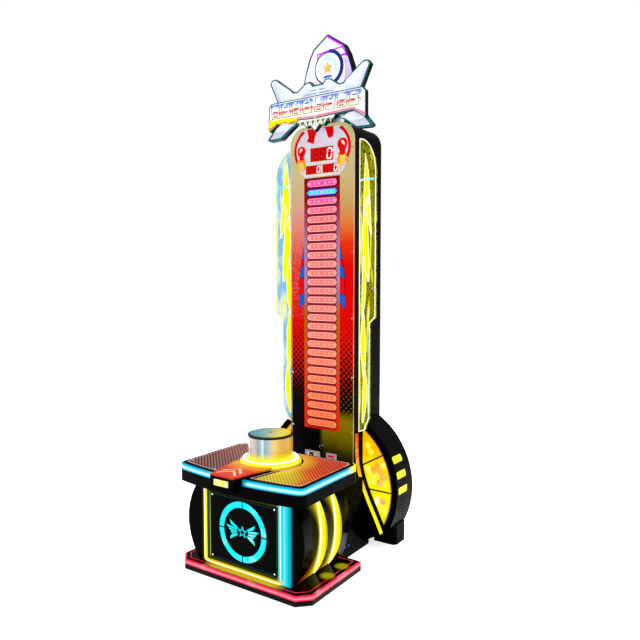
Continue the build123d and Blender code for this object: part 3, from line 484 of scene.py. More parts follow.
strip = Finish("deck_strip_diffuser", "c8f8ff", 0.3)
strip_low, strip_high = low("table_light").z, high("table_light").z
tall = strip_high - strip_low
bands = strip.up([(strip_low, "0088b8"), (strip_low + 0.18 * tall, "18bce8"),
                  (strip_low + 0.36 * tall, "9cf0ff"), (strip_low + 0.5 * tall, "f0ffff"),
                  (strip_low + 0.62 * tall, "70e6fc"), (strip_low + 0.82 * tall, "08c2ee"),
                  (strip_high, "0090bc")])
teal_end = strip.span(strip.reach(x=0), 0.13, 0.08)
gold_end = strip.both(strip.span(strip.x, 0.38, 0.41), strip.span(strip.y, -0.09, -0.02))
joint = strip.either(strip.stripes(strip.plus(strip.x, 0.13), 0.36, 0.012),
                     strip.stripes(strip.plus(strip.y, 0.09), 0.31, 0.012))
ends = strip.layer(strip.layer(bands, "007888", teal_end), "f0e400", gold_end)
strip.light(strip.layer(ends, "20b4d8", strip.both(joint, 0.55)), 1.25)
strip.wear("table_light")

gill = Finish("gill_diffuser", "ffee00", 0.35)
arc_x, arc_z, arc_radius = -0.2527, 0.2835, 0.6157
inner_arc = gill.minus(gill.length(gill.minus(gill.magnitude(gill.x), arc_x),
                                   gill.minus(gill.z, arc_z)), arc_radius)
gill.light(gill.ramp(gill.span(inner_arc, -0.002, 0.045), [
    (0, "fffbe0"), (0.12, "fff9b0"), (0.3, "fff000"), (0.75, "f4e400"), (1, "b8ac00")]), 1.25)
gill.wear("gill_lights")

halo = Finish("ring_diffuser", "fffff0", 0.3)
ring_middle = 0.149
from_ring_middle = halo.magnitude(halo.minus(halo.reach(x=0, y=drum_centre), ring_middle))
halo.light(halo.ramp(halo.span(from_ring_middle, 0.007, 0.0128), [
    (0, "ffffff"), (0.45, "fff8a0"), (1, "ffe800")]), 1.7)
halo.wear("ring_light")

flange = Finish("ring_flange_acrylic", "f6e400", 0.25, coat=0.08)
flange_r = flange.reach(x=0, y=drum_centre)
flange.colour(flange.ramp(flange.span(flange_r, 0.128, 0.178), [
    (0, "fff600"), (0.6, "fff400"), (0.92, "f4dc00"), (1, "c8a000")]), 1.0)
flange.patchy(40, 0.18, 0.34)
flange.wear("drum_flange")

p = Finish("deck_inlay_print_painted_glow", "7a2010", 0.3, coat=0.04)
# Painted yellow reflection on the right inlay, strongest near its front right and fading into the
# red print; the hatch lines turn yellow with it.
glow_reach = p.reach(x=0.17, y=-0.455)
ground = p.ramp(p.span(glow_reach, 0.03, 0.36), [
    (0, "b09c00"), (0.35, "b08c00"), (0.5, "b85000"), (0.7, "b41400"), (1, "a00800")])
dusk = p.ramp(p.span(p.y, -0.5, -0.05), [(0, "300c0c"), (0.5, "48100c"), (1, "5c1810")])
left_field = p.span(p.x, 0.004, -0.004)
across = p.both(p.plus(p.x, p.y), 0.7071)
line = p.stripes(across, 0.0165, 0.42)
line_tint = p.layer(p.ramp(p.span(glow_reach, 0.05, 0.3), [(0, "fff27a"), (1, "ff9a6a")]),
                    "c47c68", left_field)
# Painted yellow glow of the ring light on the deck round the drum's right side.
halo_wash = p.span(p.reach(x=0, y=drum_centre), 0.30, 0.17)
base_tint = p.layer(p.layer(ground, dusk, left_field), "d8b800",
                    p.both(halo_wash, p.span(p.x, -0.02, 0.1)))
line_share = p.both(line, p.plus(0.42, p.both(left_field, 0.18)))
p.colour(p.layer(base_tint, line_tint, line_share), 0.66)
p.relief(line, 0.0002)
p.wear("table_panels")

tongue = Finish("tongue_print", "b81810", 0.3, coat=0.05)
from_ring = tongue.span(tongue.reach(x=0, y=drum_centre), 0.30, 0.18)
tongue_red = tongue.up([(tongue_top - 0.01, "7a0c04"), (tongue_top - 0.001, "ff3a1c"),
                        (tongue_top + 0.001, "a4240c")])
tongue.colour(tongue.layer(tongue_red, "f0a400", from_ring), 0.6)
tongue.patchy(30, 0.2, 0.4)
tongue.wear("tongue_plate")

button = Finish("start_button_lens", "fff27a", 0.2, coat=0.1)
button.colour(button.ramp(button.span(button.noise(40, 3), 0.35, 0.7), [
    (0, "f0e000"), (0.6, "fff68c"), (1, "ffffff")]), 0.95)
button.wear("start_button")

skirt = Finish("drum_skirt_acrylic_painted_reflections", "c8ccd0", 0.12, coat=0.8)
turn = skirt.maths("ARCTAN2", skirt.minus(skirt.y, drum_centre), skirt.x)
# Painted reflections: light, dark, blue and gold bands across the skirt's width.
reflection_bands = skirt.ramp(skirt.span(skirt.x, -drum_radius, drum_radius), [
    (0, "ffffff"), (0.10, "8c8c98"), (0.17, "f4f4fa"), (0.26, "a8a8b0"), (0.33, "ffe8cc"),
    (0.36, "e8a050"), (0.40, "d0d0d8"), (0.58, "90a0a8"), (0.69, "c0ccd0"), (0.735, "ffffff"),
    (0.775, "48c8f4"), (0.82, "a0b0b0"), (0.91, "c4c8b8"), (0.96, "ffd060"), (1, "e0a820")])
mesh_u, mesh_waves = skirt.both(turn, drum_radius), 640.0
rising_rows = skirt.maths("SINE", skirt.both(skirt.plus(mesh_u, skirt.z), mesh_waves))
falling_rows = skirt.maths("SINE", skirt.both(skirt.minus(mesh_u, skirt.z), mesh_waves))
perforated = skirt.span(skirt.both(rising_rows, falling_rows), 0.25, 0.5)
# Painted yellow glow of the ring light at the skirt's foot; the skirt also gives off light of its
# painted colours.
glow_foot = skirt.span(skirt.z, deck_top + 0.088, deck_top + 0.034)
meshed = skirt.layer(reflection_bands, "606870", skirt.both(perforated, 0.4))
skirt.colour(skirt.layer(meshed, "f8ee00", glow_foot), 0.8)
skirt.wear("drum_skirt")

cap = Finish("drum_cap_steel_painted_reflection", "7c9aa0", 0.28, metal=0.1, coat=0.1)
cap_rings = cap.stripes(cap.reach(x=0, y=drum_centre), 0.0036, 0.5)
# Painted reflection on the cap, teal at its left edge to gold towards the right, also given off as
# light.
cap_reflection_sweep = cap.span(cap.plus(cap.x, cap.both(cap.y, 0.5)), -0.23, 0.0)
cap.colour(cap.ramp(cap_reflection_sweep, [
    (0, "1c8094"), (0.4, "5c9488"), (0.7, "b4a83c"), (1, "e4cc00")]), 0.6)
cap.relief(cap_rings, 0.00012)
cap.wear("drum_cap")

rubber = Finish("black_rubber", "060606", 0.62, shine=0.3)
rubber.patchy(60, 0.5, 0.75)
rubber.relief(rubber.noise(700, 3), 0.0002)
rubber.wear("drum_gasket", "stop_bumpers", "levelling_feet")

steel = Finish("turned_steel", "a8acb0", 0.3, metal=1.0)
steel.patchy(50, 0.2, 0.42, stretch=(1, 1, 12))
steel.relief(steel.noise(300, 2, (1, 1, 20)), 0.0001)
steel.wear("drum_shaft", "shaft_clip", "shaft_bearing", "hinge_pins", "topper_bracket")
chrome = Finish("bright_chrome", "e4e4e8", 0.12, metal=1.0)
chrome.patchy(80, 0.08, 0.24)
chrome.wear("screws", "key_lock", "door_lock", "coin_return_button")
spring = Finish("spring_steel", "5c6066", 0.35, metal=0.9)
spring.patchy(120, 0.25, 0.5)
spring.relief(spring.noise(260, 2), 0.0002)
plate = Finish("coin_plate_enamel", "f4ecd0", 0.3, metal=0.1, coat=0.05)
plate.colour(plate.layer("f2e8c0", "ffffff", plate.span(plate.noise(60, 3), 0.4, 0.65)), 0.25)
plate.relief(plate.noise(500, 2, (1, 1, 0.1)), 0.0001)
plate.wear("coin_plate", "card_plate")
circuit = Finish("circuit_board", "0c4c24", 0.4)
circuit.colour(circuit.layer("0b4a22", "1c7a3c", circuit.stripes(circuit.z, 0.008, 0.3)))
circuit.patchy(60, 0.3, 0.5)
circuit.wear("control_board")
unit = Finish("grey_unit_steel", "6c7074", 0.45, metal=0.5)
unit.patchy(40, 0.35, 0.6)
unit.relief(unit.noise(500, 3), 0.00015)
unit.wear("power_supply", "impact_sensor", "speaker")
inlet = Finish("inlet_nylon", "101012", 0.5)
inlet.patchy(90, 0.42, 0.6)
inlet.relief(inlet.noise(800, 2), 0.00012)
inlet.wear("power_inlet")

panel = black_lacquer("front_panel_acrylic", 0.12, 0.015)
panel.wear("front_panel")

t = Finish("tower_panel_print_and_reflection", "c81010", 0.35, shine=0.03)
left_z = t.up([(0.44, "000000"), (0.86, "050000"), (0.93, "7a0000"), (1.05, "f20000"),
               (1.60, "f00408"), (1.72, "ee2a24"), (1.82, "f05a50"), (1.92, "f08c78"),
               (2.05, "e8a890"), (2.18, "dcc08c"), (2.32, "d8cc94"), (2.577, "e4dca8")])
right_z = t.up([(0.44, "040300"), (0.56, "2c2400"), (0.66, "7c6c00"), (0.80, "a89000"),
                (0.90, "c86400"), (0.97, "f20a00"), (1.72, "f60000"), (1.86, "f43a10"),
                (1.98, "e88c3c"), (2.10, "dca868"), (2.25, "d4c084"), (2.577, "dcd8a0")])
print_ground = t.layer(left_z, right_z, t.span(t.x, -0.02, 0.02))
cell = 0.0255
turned_u = t.both(t.plus(t.x, t.z), 0.70711)
turned_v = t.both(t.minus(t.x, t.z), 0.70711)
du, dv = t.maths("PINGPONG", turned_u, cell / 2), t.maths("PINGPONG", turned_v, cell / 2)
dot_reach = t.maths("SQRT", t.length(t.both(du, du), t.both(dv, dv)))
dot_size = t.both(t.span(t.z, 1.62, 0.86), 0.0128)
dots = t.span(t.minus(dot_reach, dot_size), 0.0008, -0.0008)
dots = t.both(dots, t.span(t.z, 1.56, 1.50), t.span(t.z, 0.74, 0.84))
speckle = t.span(t.noise(220, 4), 0.52, 0.60)
speckled = t.layer(print_ground, t.layer(print_ground, "ff1400", 0.6),
                   t.both(speckle, t.span(t.z, 1.6, 1.8), t.span(t.z, 2.1, 1.9)))
# Painted pale pink reflection, speckled, over the left half of the panel between about 1.3 and
# 2.05 m up.
pink_reflection_speckle = t.both(t.span(t.noise(150, 5), 0.50, 0.62), t.span(t.x, 0.0, -0.05), 0.42,
                      t.span(t.z, 1.30, 1.62), t.span(t.z, 2.05, 1.85))
speckled = t.layer(speckled, "f4b4ac", pink_reflection_speckle)
fine_hatch = t.stripes(turned_v, 0.0085, 0.4)
hatched = t.layer(speckled, "8a7600", t.both(fine_hatch, t.span(t.x, 0.1, 0.14), 0.5,
                                              t.span(t.z, 0.95, 0.84), t.span(t.z, 0.5, 0.62)))
t.colour(t.layer("020203", t.layer(hatched, "000000", dots), facing_player(t)), 0.5)
t.patchy(14, 0.25, 0.45)
t.wear("tower_panel")

lamp_board = Finish("lamp_frame_print", "a02020", 0.4)
margin = lamp_board.up([(0.69, "ff2400"), (1.0, "f83c00"), (1.2, "d85800"), (1.42, "b46800"),
                        (1.50, "a8707c"), (1.62, "b090b4"), (1.85, "b084a8"), (2.0, "a84860"),
                        (2.12, "a00c18"), (2.262, "8c0008")])
between = lamp_board.up([(0.69, "e80800"), (1.27, "dc0600"), (1.6, "c8243c"), (1.9, "c01c34"),
                         (2.12, "c00414"), (2.262, "a00008")])
in_margin = lamp_board.span(lamp_board.reach(x=0), 0.100, 0.116)
lamp_board.colour(lamp_board.layer(between, margin, in_margin), 0.6)
lamp_board.patchy(30, 0.3, 0.5)
lamp_board.wear("lamp_frame")

lens = Finish("lamp_lens_diffuser", "ff8c80", 0.3, coat=0.05)
lens_v = lens.wrap(lens.minus(lens.z, lamp_first - lamp_pitch), lamp_pitch / 2)
lens_x = lens.magnitude(lens.x)
first_spot, half_spot_pitch = 0.0235, 0.0158
spot_u = lens.wrap(lens.minus(lens_x, first_spot), half_spot_pitch)
spot_reach = lens.length(lens_v, spot_u)
spot = lens.both(lens.span(spot_reach, 0.0105, 0.004), lens.span(lens_x, 0.100, 0.096),
                 lens.span(lens_x, 0.012, 0.016))
body_tint = lens.up([(0.69, "ff6838"), (0.95, "ff7044"), (1.2, "ff7864"), (1.55, "ff7476"),
                     (2.02, "ff6c6e"), (2.12, "ff5494"), (2.24, "ff4ca4")])
rim_tint = lens.up([(0.69, "ff9460"), (1.2, "ffa8a0"), (1.9, "ffb0b4"), (2.24, "f884c0")])
spot_tint = lens.up([(0.69, "ff9058"), (1.2, "ffa484"), (2.24, "ffa894")])
edge_x = lens.span(lens_x, 0.088, 0.106)
near_rim = lens.either(edge_x, lens.span(lens.magnitude(lens_v), 0.011, 0.019))
lit_lens = lens.layer(lens.layer(body_tint, rim_tint, near_rim), spot_tint, spot)
second = lamp_first + lamp_pitch * (lamp_count - 2)
blue_row = lens.span(lens.reach(z=second), 0.026, 0.024)
blue_lens = lens.layer(lens.layer("c8a0f0", "5030ff", near_rim), "00f0ff",
                       lens.span(spot_reach, 0.015, 0.011))
lens.colour(lens.layer(lit_lens, blue_lens, blue_row), 0.85)
lens.relief(lens.span(lens.magnitude(lens_v), 0.019, 0.004), 0.0012)
lens.wear("lamp_lenses")

display = Finish("score_display_filter", "7a0404", 0.15, coat=0.08)
cells = display.both(*(display.stripes(axis, 0.0042, 0.5) for axis in (display.x, display.z)))
display.colour(display.layer("e00a10", "b40408", cells), 0.8)
display.wear("score_displays")

wing_r = Finish("right_wing_print", "a0a000", 0.15, coat=0.08)
streak = wing_r.noise(9, 3, (4.2, 4.2, 0.36))
fleck = wing_r.noise(95, 4, (1, 1, 0.8))
olive = wing_r.layer("8c8c00", "1c2000", wing_r.span(fleck, 0.50, 0.60))
wing_r.colour(wing_r.layer(wing_r.layer(olive, "e8e400", wing_r.span(streak, 0.56, 0.62)),
                           "fffde0", wing_r.span(streak, 0.66, 0.70)), 0.8)
wing_r.wear("wing_right")
wing_l = Finish("left_wing_print", "b8e0f4", 0.15, coat=0.08)
streak = wing_l.noise(8, 3, (4.2, 4.2, 0.33))
drift = wing_l.noise(11, 3, (2, 2, 0.6))
wing_l.colour(wing_l.layer(wing_l.layer("c4e0f0", "7cb8dc", wing_l.span(drift, 0.42, 0.58)),
                           wing_l.layer("e8ecb0", "f4f000", wing_l.span(streak, 0.60, 0.66)),
                           wing_l.span(streak, 0.55, 0.60)), 0.8)
wing_l.wear("wing_left")

comb = Finish("fairing_lens_acrylic", "ffd800", 0.2, coat=0.08)
comb_tint = comb.up([(0.12, "c8e000"), (0.22, "f0f000"), (0.34, "f8ec00"), (0.48, "ffe400"),
                     (0.62, "ffc400"), (0.80, "ffb400")])
amber_cloud = comb.both(comb.span(comb.noise(12, 3), 0.5, 0.7), comb.span(comb.z, 0.3, 0.55), 0.6)
comb.colour(comb.layer(comb_tint, "ffa000", amber_cloud), 0.85)
comb.wear("fairing_lenses")
pill = Finish("rim_window_diffuser", "e8f000", 0.3)
pill.light(pill.layer("e4e800", "f8ff70", pill.span(pill.noise(30, 2), 0.45, 0.7)), 1.2)
pill.wear("rim_windows")
flare_lamp = Finish("flare_strip_diffuser", "ff9000", 0.35)
flare_tint = flare_lamp.up([(0.10, "fff000"), (0.30, "ffe400"), (0.42, "ffbc00"),
                            (0.55, "ff7c00"), (0.70, "ff4000")])
pale_cloud = flare_lamp.both(flare_lamp.span(flare_lamp.noise(14, 3, (1, 1, 3)), 0.5, 0.7), 0.5)
flare_lamp.light(flare_lamp.layer(flare_tint, "ffc070", pale_cloud), 1.2)
flare_lamp.wear("flare_lights")


def lit_board(name, light_tint, shade_tint, strength, scale=4):
    """Light-box print on a cut board: lit in front, black on its sides and back."""
    m = Finish(name, light_tint, 0.3, coat=0.05)
    tone = m.layer(light_tint, shade_tint, m.span(m.noise(scale, 3), 0.45, 0.7))
    m.colour(m.layer("040405", tone, facing_player(m)), strength)
    m.relief(m.noise(260, 2), 0.0001)
    return m


lit_board("crown_board_white", "f6fbff", "dfe8fb", 0.75).wear("topper_plate")
lit_board("banner_board_white", "fffdf4", "f0f6f4", 0.75).wear("topper_banner")
lit_board("bullet_face_print", "fdfbff", "ece6fc", 0.75).wear("topper_face")
lit_board("badge_print", "ffffff", "eefcff", 0.8).wear("topper_badge")
blocks = Finish("banner_block_print", "ffffff", 0.25, coat=0.08)
block_tall = block_high - block_low
block_tone = blocks.up([(block_low, "fffce4"), (block_low + 0.22 * block_tall, "fff8d0"),
                        (block_low + 0.36 * block_tall, "ff9a8c"),
                        (block_low + 0.44 * block_tall, "ff2c50"),
                        (block_low + 0.5 * block_tall, "fff2c0"),
                        (block_low + 0.64 * block_tall, "ffffff"),
                        (block_low + 0.78 * block_tall, "8ab8ff"), (block_high, "4a7cff")])
blocks.colour(blocks.layer(block_tone, "ffffff", blocks.span(
    blocks.noise(26, 3), 0.52, 0.6)), 0.75)
blocks.wear("banner_blocks")


# ------------------------------------------------------------------ finishes of the trim
def glowing(name, tint_code, strength=1.0, second=None, scale=20):
    """Lit plastic or printed film, mottled between two close tints."""
    m = Finish(name, tint_code, 0.35)
    tone = m.layer(tint_code, second or tint_code, m.span(m.noise(scale, 3), 0.4, 0.7))
    m.colour(tone, strength)
    return m


red_film = glowing("red_film", "f00408", 0.6, "e00004")
cream_film = glowing("cream_film", "f0e8b8", 0.6, "e4dcaa")
lavender_film = glowing("lavender_film", "e4dcec", 0.65, "d8d0e4")
orange_film = glowing("orange_film", "f08c20", 0.65, "e8b830", 45)
gold_film = glowing("gold_film", "f4cc40", 0.65, "f0e070", 45)
blue_film = glowing("blue_film", "0a60d4", 0.75, "1054c4")
black_film = Finish("black_film", "020203", 0.3)
black_film.patchy(40, 0.22, 0.4)
white_film = glowing("white_film", "ffffff", 0.9, "f4f4ff")
digit_lit = glowing("digit_lit", "fff0f0", 1.6, "ffdada")
digit_dark = glowing("digit_dark", "8c0206", 0.7, "980408")
teal_line = glowing("teal_line", "0a5c64", 0.8, "127880")
teal_faint = glowing("teal_faint", "003c44", 0.9, "00525c")
red_line = glowing("red_line", "f00018", 1.0, "ff4060")
pale_facet = glowing("pale_facet", "dfe6f8", 0.75, "f2f6ff", 8)
lilac_facet = glowing("lilac_facet", "c8b8ec", 0.75, "e0d6f8", 10)
grey_facet = glowing("grey_facet", "ccd2e4", 0.75, "e8ecf6", 10)
magenta_line = glowing("magenta_line", "d428f0", 0.85, "b010e8", 12)
pink_line = glowing("pink_line", "ee7ca0", 0.85, "f89cbc", 12)
navy_line = glowing("navy_line", "102a70", 0.8, "1c3c8c")
ice_film = glowing("ice_film", "b4f4f8", 0.8, "d8fcff")
sky_film = glowing("sky_film", "8cb4d8", 0.8, "a8c8e8")
flame_film = glowing("flame_film", "fff400", 0.95, "f8e400", 30)
clear_rim = glowing("wing_rim_glow", "fffff4", 1.0, "fffcc0")
lemon_rim = glowing("wing_rim_lemon", "fbf9a0", 0.95, "fffde0")
amber_cell = glowing("amber_cell", "ffa028", 0.85, "ffc070", 30)
comb_light = glowing("comb_light", "ffee20", 0.85, "fff468", 30)
lemon_glare = glowing("lemon_glare", "fdfde0", 0.9, "f4f490", 12)


# ------------------------------------------------------------------ base and front panel
def base_line():
    """Red inlaid line on the plinth's top, a little inside the light strip."""
    half, corner = high("base_plinth").x - 0.030, 0.052
    front, back = low("base_plinth").y + 0.028, high("base_plinth").y - 0.03
    outline = [(half - corner, front), (half, front + corner), (half, back), (-half, back),
               (-half, front + corner), (corner - half, front)]
    inlay("base_inlaid_line", [outline], 0.0008, on_deck(base_top), red_line,
          rim=0.0032)


def panel_trim():
    """Thin lit outline of the front panel and the line beside its left edge."""
    middle = (panel_low + panel_high) / 2
    tall = panel_high - panel_low
    inlay("panel_outline", [box_outline((0, middle), 2 * panel_half - 0.016, tall - 0.016)],
          0.0006, on_front, teal_faint, rim=0.0018)
    inlay("panel_side_line", [box_outline((-panel_half + 0.004, middle), 0.003, tall - 0.004)],
          0.0012, on_front, glowing("side_line", "b8c400", 0.9, "6ab060", 6))
    inlay("panel_edge_glints", [box_outline((panel_half + 0.052, middle), 0.0018, tall + 0.03),
                                box_outline((panel_half + 0.066, middle), 0.0012, tall + 0.01)],
          0.0006, on_front, teal_faint)


def ring_trim():
    """Raised black collars inside and outside the lit ring, and the emblem's blades and centre."""
    centre = (0, ring_centre)
    inlay("ring_collars", [arc(centre, 0.1685, 0, 360, 72)[:-1],
                           arc(centre, 0.1305, 0, 360, 72)[:-1]],
          0.0035, on_front, black_film, rim=0.003, round_over=0.0006)
    blade = [(0.026, 0.014), (0.046, 0.029), (0.088, 0.053), (0.079, 0.030), (0.050, 0.019)]
    inlay("emblem_blades", pair([(u, ring_centre + v) for u, v in blade],
                                [(u, ring_centre - v) for u, v in reversed(blade)]),
          0.0030, upright(fascia - 0.0005), cyan, round_over=0.0005)
    inlay("emblem_star_core", [star_outline(centre, 0.022, 0.009)], 0.0012,
          upright(fascia - 0.002), black_film, round_over=0.0003)


def carcass_marks():
    """Small lit slots and indicator lamps on the sides of the link body."""
    side = high("link_body").x
    bm = bmesh.new()
    for sign in (-1, 1):
        for y, z, long, tall in ((0.090, 0.250, 0.040, 0.004), (0.035, 0.445, 0.012, 0.004)):
            made = bmesh.ops.create_cube(bm, size=1.0)["verts"]
            bmesh.ops.scale(bm, verts=made, vec=(0.002, long, tall))
            bmesh.ops.rotate(bm, verts=made, cent=(0, 0, 0),
                             matrix=Matrix.Rotation(math.radians(14), 3, "X"))
            bmesh.ops.translate(bm, verts=made, vec=(sign * side, y, z))
    keep(bm, "link_side_slots", flame_film, round_over=0.0006)
    bm = bmesh.new()
    for sign in (-1, 1):
        for k in range(3):
            peg(bm, (sign * (side + 0.0012), 0.06 + 0.035 * k, 0.075), (0.006, 0.0045), 0.003,
                90 * sign)
    keep(bm, "link_indicator_lamps", blue_film, crease=50)


# ------------------------------------------------------------------ deck
def bowed_front(x, inset):
    """Depth of the deck's bowed front edge at x, drawn in by inset."""
    sweep = 1.950
    return low("table_light").y + 0.0003 + sweep - math.sqrt((sweep - inset) ** 2 - x * x)


def deck_field(inset, gap):
    """Outline of the right deck inlay, drawn in from the deck's edge by inset."""
    half, back = deck_half - inset, high("table_deck").y - inset
    tongue_side, seam, ring_clear = 0.105 + gap, 0.013 + gap, 0.189 + gap
    corner = half - 0.03
    corner_y = bowed_front(corner, inset)
    front_x = [tongue_side + (corner - tongue_side) * k / 12 for k in range(13)]
    points = [(x, bowed_front(x, inset)) for x in front_x]
    points += [(half - 0.008, corner_y + 0.010), (half, corner_y + 0.028), (half, back - 0.02),
               (half - 0.02, back), (seam, back)]
    turn = math.degrees(math.asin(seam / ring_clear))
    return points + arc((0, drum_centre), ring_clear, 90 - turn, -42, 16)


def deck_trim():
    """White border lines round the two inlays, and the screws at their corners."""
    field = deck_field(0.031, -0.001)
    inlay("deck_border_lines", pair(field), 0.0009,
          on_deck(deck_top + 0.002), glowing("deck_border_film", "ffd8d0", 0.7, "e88c80", 9),
          rim=0.0022)
    spots = [(sign * x, y) for sign in (-1, 1)
             for x, y in ((0.378, -0.448), (0.385, -0.02), (0.16, -0.50), (0.06, -0.008))]
    screw_heads("deck_screws", [(x, y, deck_top + 0.002) for x, y in spots], (0, 0, 1))


def peg(bm, spot, radii, depth, turn=0, axis="Y", sides=16):
    """Adds a short round peg, turned about an axis before it goes to its spot."""
    made = bmesh.ops.create_cone(bm, cap_ends=True, segments=sides, radius1=radii[0],
                                 radius2=radii[1], depth=depth)["verts"]
    bmesh.ops.rotate(bm, verts=made, cent=(0, 0, 0),
                     matrix=Matrix.Rotation(math.radians(turn), 3, axis))
    bmesh.ops.translate(bm, verts=made, vec=spot)
    return made


def round_drum(radius, z, first, pitch):
    """Spots on a circle round the drum's axis, from the first angle on, in degrees."""
    turns = [math.radians(a) for a in range(first, 360, pitch)]
    return [(radius * math.cos(a), drum_centre + radius * math.sin(a), z) for a in turns]


def screw_heads(name, spots, out, radius=0.005):
    """Domed screw heads with a round recess, set at spots with their tops along out."""
    bm = bmesh.new()
    lift = Vector((0, 0, 1)).rotation_difference(Vector(out)).to_matrix().to_4x4()
    for spot in spots:
        made = bmesh.ops.create_cone(bm, cap_ends=True, segments=20, radius1=radius,
                                     radius2=radius * 0.72, depth=0.0022)["verts"]
        bmesh.ops.translate(bm, verts=made, vec=(0, 0, 0.0011))
        tops = [f for f in {f for v in made for f in v.link_faces} if f.normal.z > 0.9]
        hollow = bmesh.ops.inset_region(bm, faces=tops, thickness=radius * 0.4,
                                        depth=0)["faces"]
        bmesh.ops.translate(bm, verts=list({v for f in tops for v in f.verts}),
                            vec=(0, 0, -0.0008))
        verts = list({v for f in {*hollow, *tops} for v in f.verts} | set(made))
        bmesh.ops.transform(bm, matrix=Matrix.Translation(spot) @ lift, verts=verts)
    return keep(bm, name, chrome, crease=40)


def tongue_trim():
    """Cream chevrons that point from the button to the drum."""
    outlines = []
    for tip in (-0.470, -0.515):
        arm, wide = 0.062, 0.013
        outlines.append([(0, tip), (arm, tip - arm), (arm, tip - arm - wide * 1.5),
                         (0, tip - wide * 1.5), (-arm, tip - arm - wide * 1.5), (-arm, tip - arm)])
    inlay("tongue_chevrons", outlines, 0.0006, on_deck(tongue_top),
          glowing("chevron_film", "e8c890", 0.55, "d89c60", 14))
    console = low("table_deck").y
    inlay("button_bezel", [box_outline((0, (low("start_button").z + high("start_button").z) / 2),
                                       0.108, 0.043)],
          0.0015, upright(console), black_film, rim=0.0055, round_over=0.0004)


# ------------------------------------------------------------------ drum
def drum_liner():
    """Plain steel cylinder seen through the clear skirt, and the cap's centre bolt."""
    bm = bmesh.new()
    foot, top = deck_top - 0.012, low("drum_gasket").z - 0.0006
    outer, inner = drum_radius - 0.0075, drum_radius - 0.0095
    ring = [bm.verts.new((radius, 0, z)) for radius, z in ((outer, foot), (outer, top),
                                                           (inner, top), (inner, foot))]
    edges = [bm.edges.new((ring[k], ring[(k + 1) % 4])) for k in range(4)]
    bmesh.ops.spin(bm, geom=ring + edges, cent=(0, 0, 0), axis=(0, 0, 1), angle=2 * math.pi,
                   steps=96, use_merge=True)
    bmesh.ops.translate(bm, verts=bm.verts, vec=(0, drum_centre, 0))
    keep(bm, "drum_liner", steel, "drum")
    bm = bmesh.new()
    peg(bm, (0, 0, 0), (0.0125, 0.0115), 0.003, sides=6)
    peg(bm, (0, 0, -0.0012), (0.019, 0.018), 0.0012, sides=48)
    bmesh.ops.translate(bm, verts=bm.verts, vec=(0, drum_centre, drum_top - 0.0012))
    keep(bm, "cap_centre_bolt", black_film, "drum")
    bolts = screw_heads("cap_screws", round_drum(0.096, drum_top - 0.0014, 15, 60), (0, 0, 1),
                        0.0042)
    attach(bolts, "drum")


def return_spring():
    """Coil spring under the drum, which on the machine shortens as the drum goes down; here it is
    one fixed coil.
    """
    foot, head = low("drum_spring").z, high("drum_spring").z
    wire, turns, steps, sides = 0.0035, 4, 44, 12
    coil = high("drum_spring").x - wire
    bm = bmesh.new()
    rings = []
    up, climb = Vector((0, 0, 1)), (head - foot - 2 * wire) / (turns * steps)
    for k in range(turns * steps + 1):
        angle = 2 * math.pi * k / steps
        out = Vector((math.cos(angle), math.sin(angle), 0))
        centre = Vector((0, drum_centre, foot + wire + climb * k)) + coil * out
        around = [2 * math.pi * j / sides for j in range(sides)]
        rings.append([bm.verts.new(centre + wire * (math.cos(a) * out + math.sin(a) * up))
                      for a in around])
    for a, b in zip(rings, rings[1:]):
        for j in range(sides):
            bm.faces.new((a[j], a[(j + 1) % sides], b[(j + 1) % sides], b[j]))
    bm.faces.new(rings[0][::-1])
    bm.faces.new(rings[-1])
    piece = keep(bm, "return_spring", spring, "drum")
    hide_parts("drum_spring")
    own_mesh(piece)


def flange_trim():
    """Screws round the drum's flange."""
    screw_heads("flange_screws", round_drum(0.1695, high("drum_flange").z - 0.0022, 25, 45),
                (0, 0, 1), 0.0032)


# ------------------------------------------------------------------ tower artwork
def tower_edge(inset, foot):
    """The tower panel's outline, drawn in by inset, starting above foot."""
    half, top, corner = tower_half - inset, tower_top - inset, 0.110 - inset
    right = [(half, foot)] + arc((half - corner, top - corner), corner, 0, 90, 12)
    return right + mirrored(right)


def tower_border():
    """Thin pale line round the tower panel."""
    inlay("tower_border_line", [tower_edge(0.004, low("tower_panel").z + 0.004)], 0.0006,
          on_tower, glowing("border_film", "e8dca0", 0.6, "c8a860", 8),
          rim=0.0035)


def art_field():
    """Pale shield behind the displays, with its red bows and wedges."""
    wide, narrow = 0.0835, 0.1195
    flank = [(wide, 2.3395), (narrow, 2.3395), (narrow, 2.281), (0.142, 2.281), (0.160, 2.300),
             (0.176, 2.330), (0.190, 2.385), (0.199, 2.440), (0.190, 2.490), (0.168, 2.530),
             (0.130, 2.556), (0, 2.560), (0, 2.4455), (wide, 2.4455)]
    neck = box_outline((0, 2.3487), 2 * wide, 0.0175)
    post = box_outline((0, 2.311), 0.011, 0.0578)
    foot = box_outline((0, 2.2745), 0.268, 0.0140)
    inlay("art_field", [flank, mirrored(flank), neck, post, foot], 0.0005, on_tower,
          lavender_film)
    bow = (arc((0.070, 2.430), 0.140, -32, 62, 14) + arc((0.064, 2.432), 0.126, 60, -26, 14))
    horn = [(0.122, 2.545), (0.150, 2.553), (0.178, 2.520), (0.163, 2.500), (0.168, 2.524)]
    wedge = [(0.012, 2.560), (0.085, 2.560), (0.088, 2.520), (0.080, 2.497), (0.052, 2.490),
             (0.040, 2.512), (0.028, 2.548)]
    fang = [(-0.030, 2.560), (-0.110, 2.560), (-0.098, 2.512), (-0.112, 2.488), (-0.058, 2.468),
            (-0.052, 2.505), (-0.040, 2.530)]
    inlay("art_red_shapes", [bow, mirrored(bow), horn, mirrored(horn), wedge, fang], 0.0009,
          on_tower, red_film)


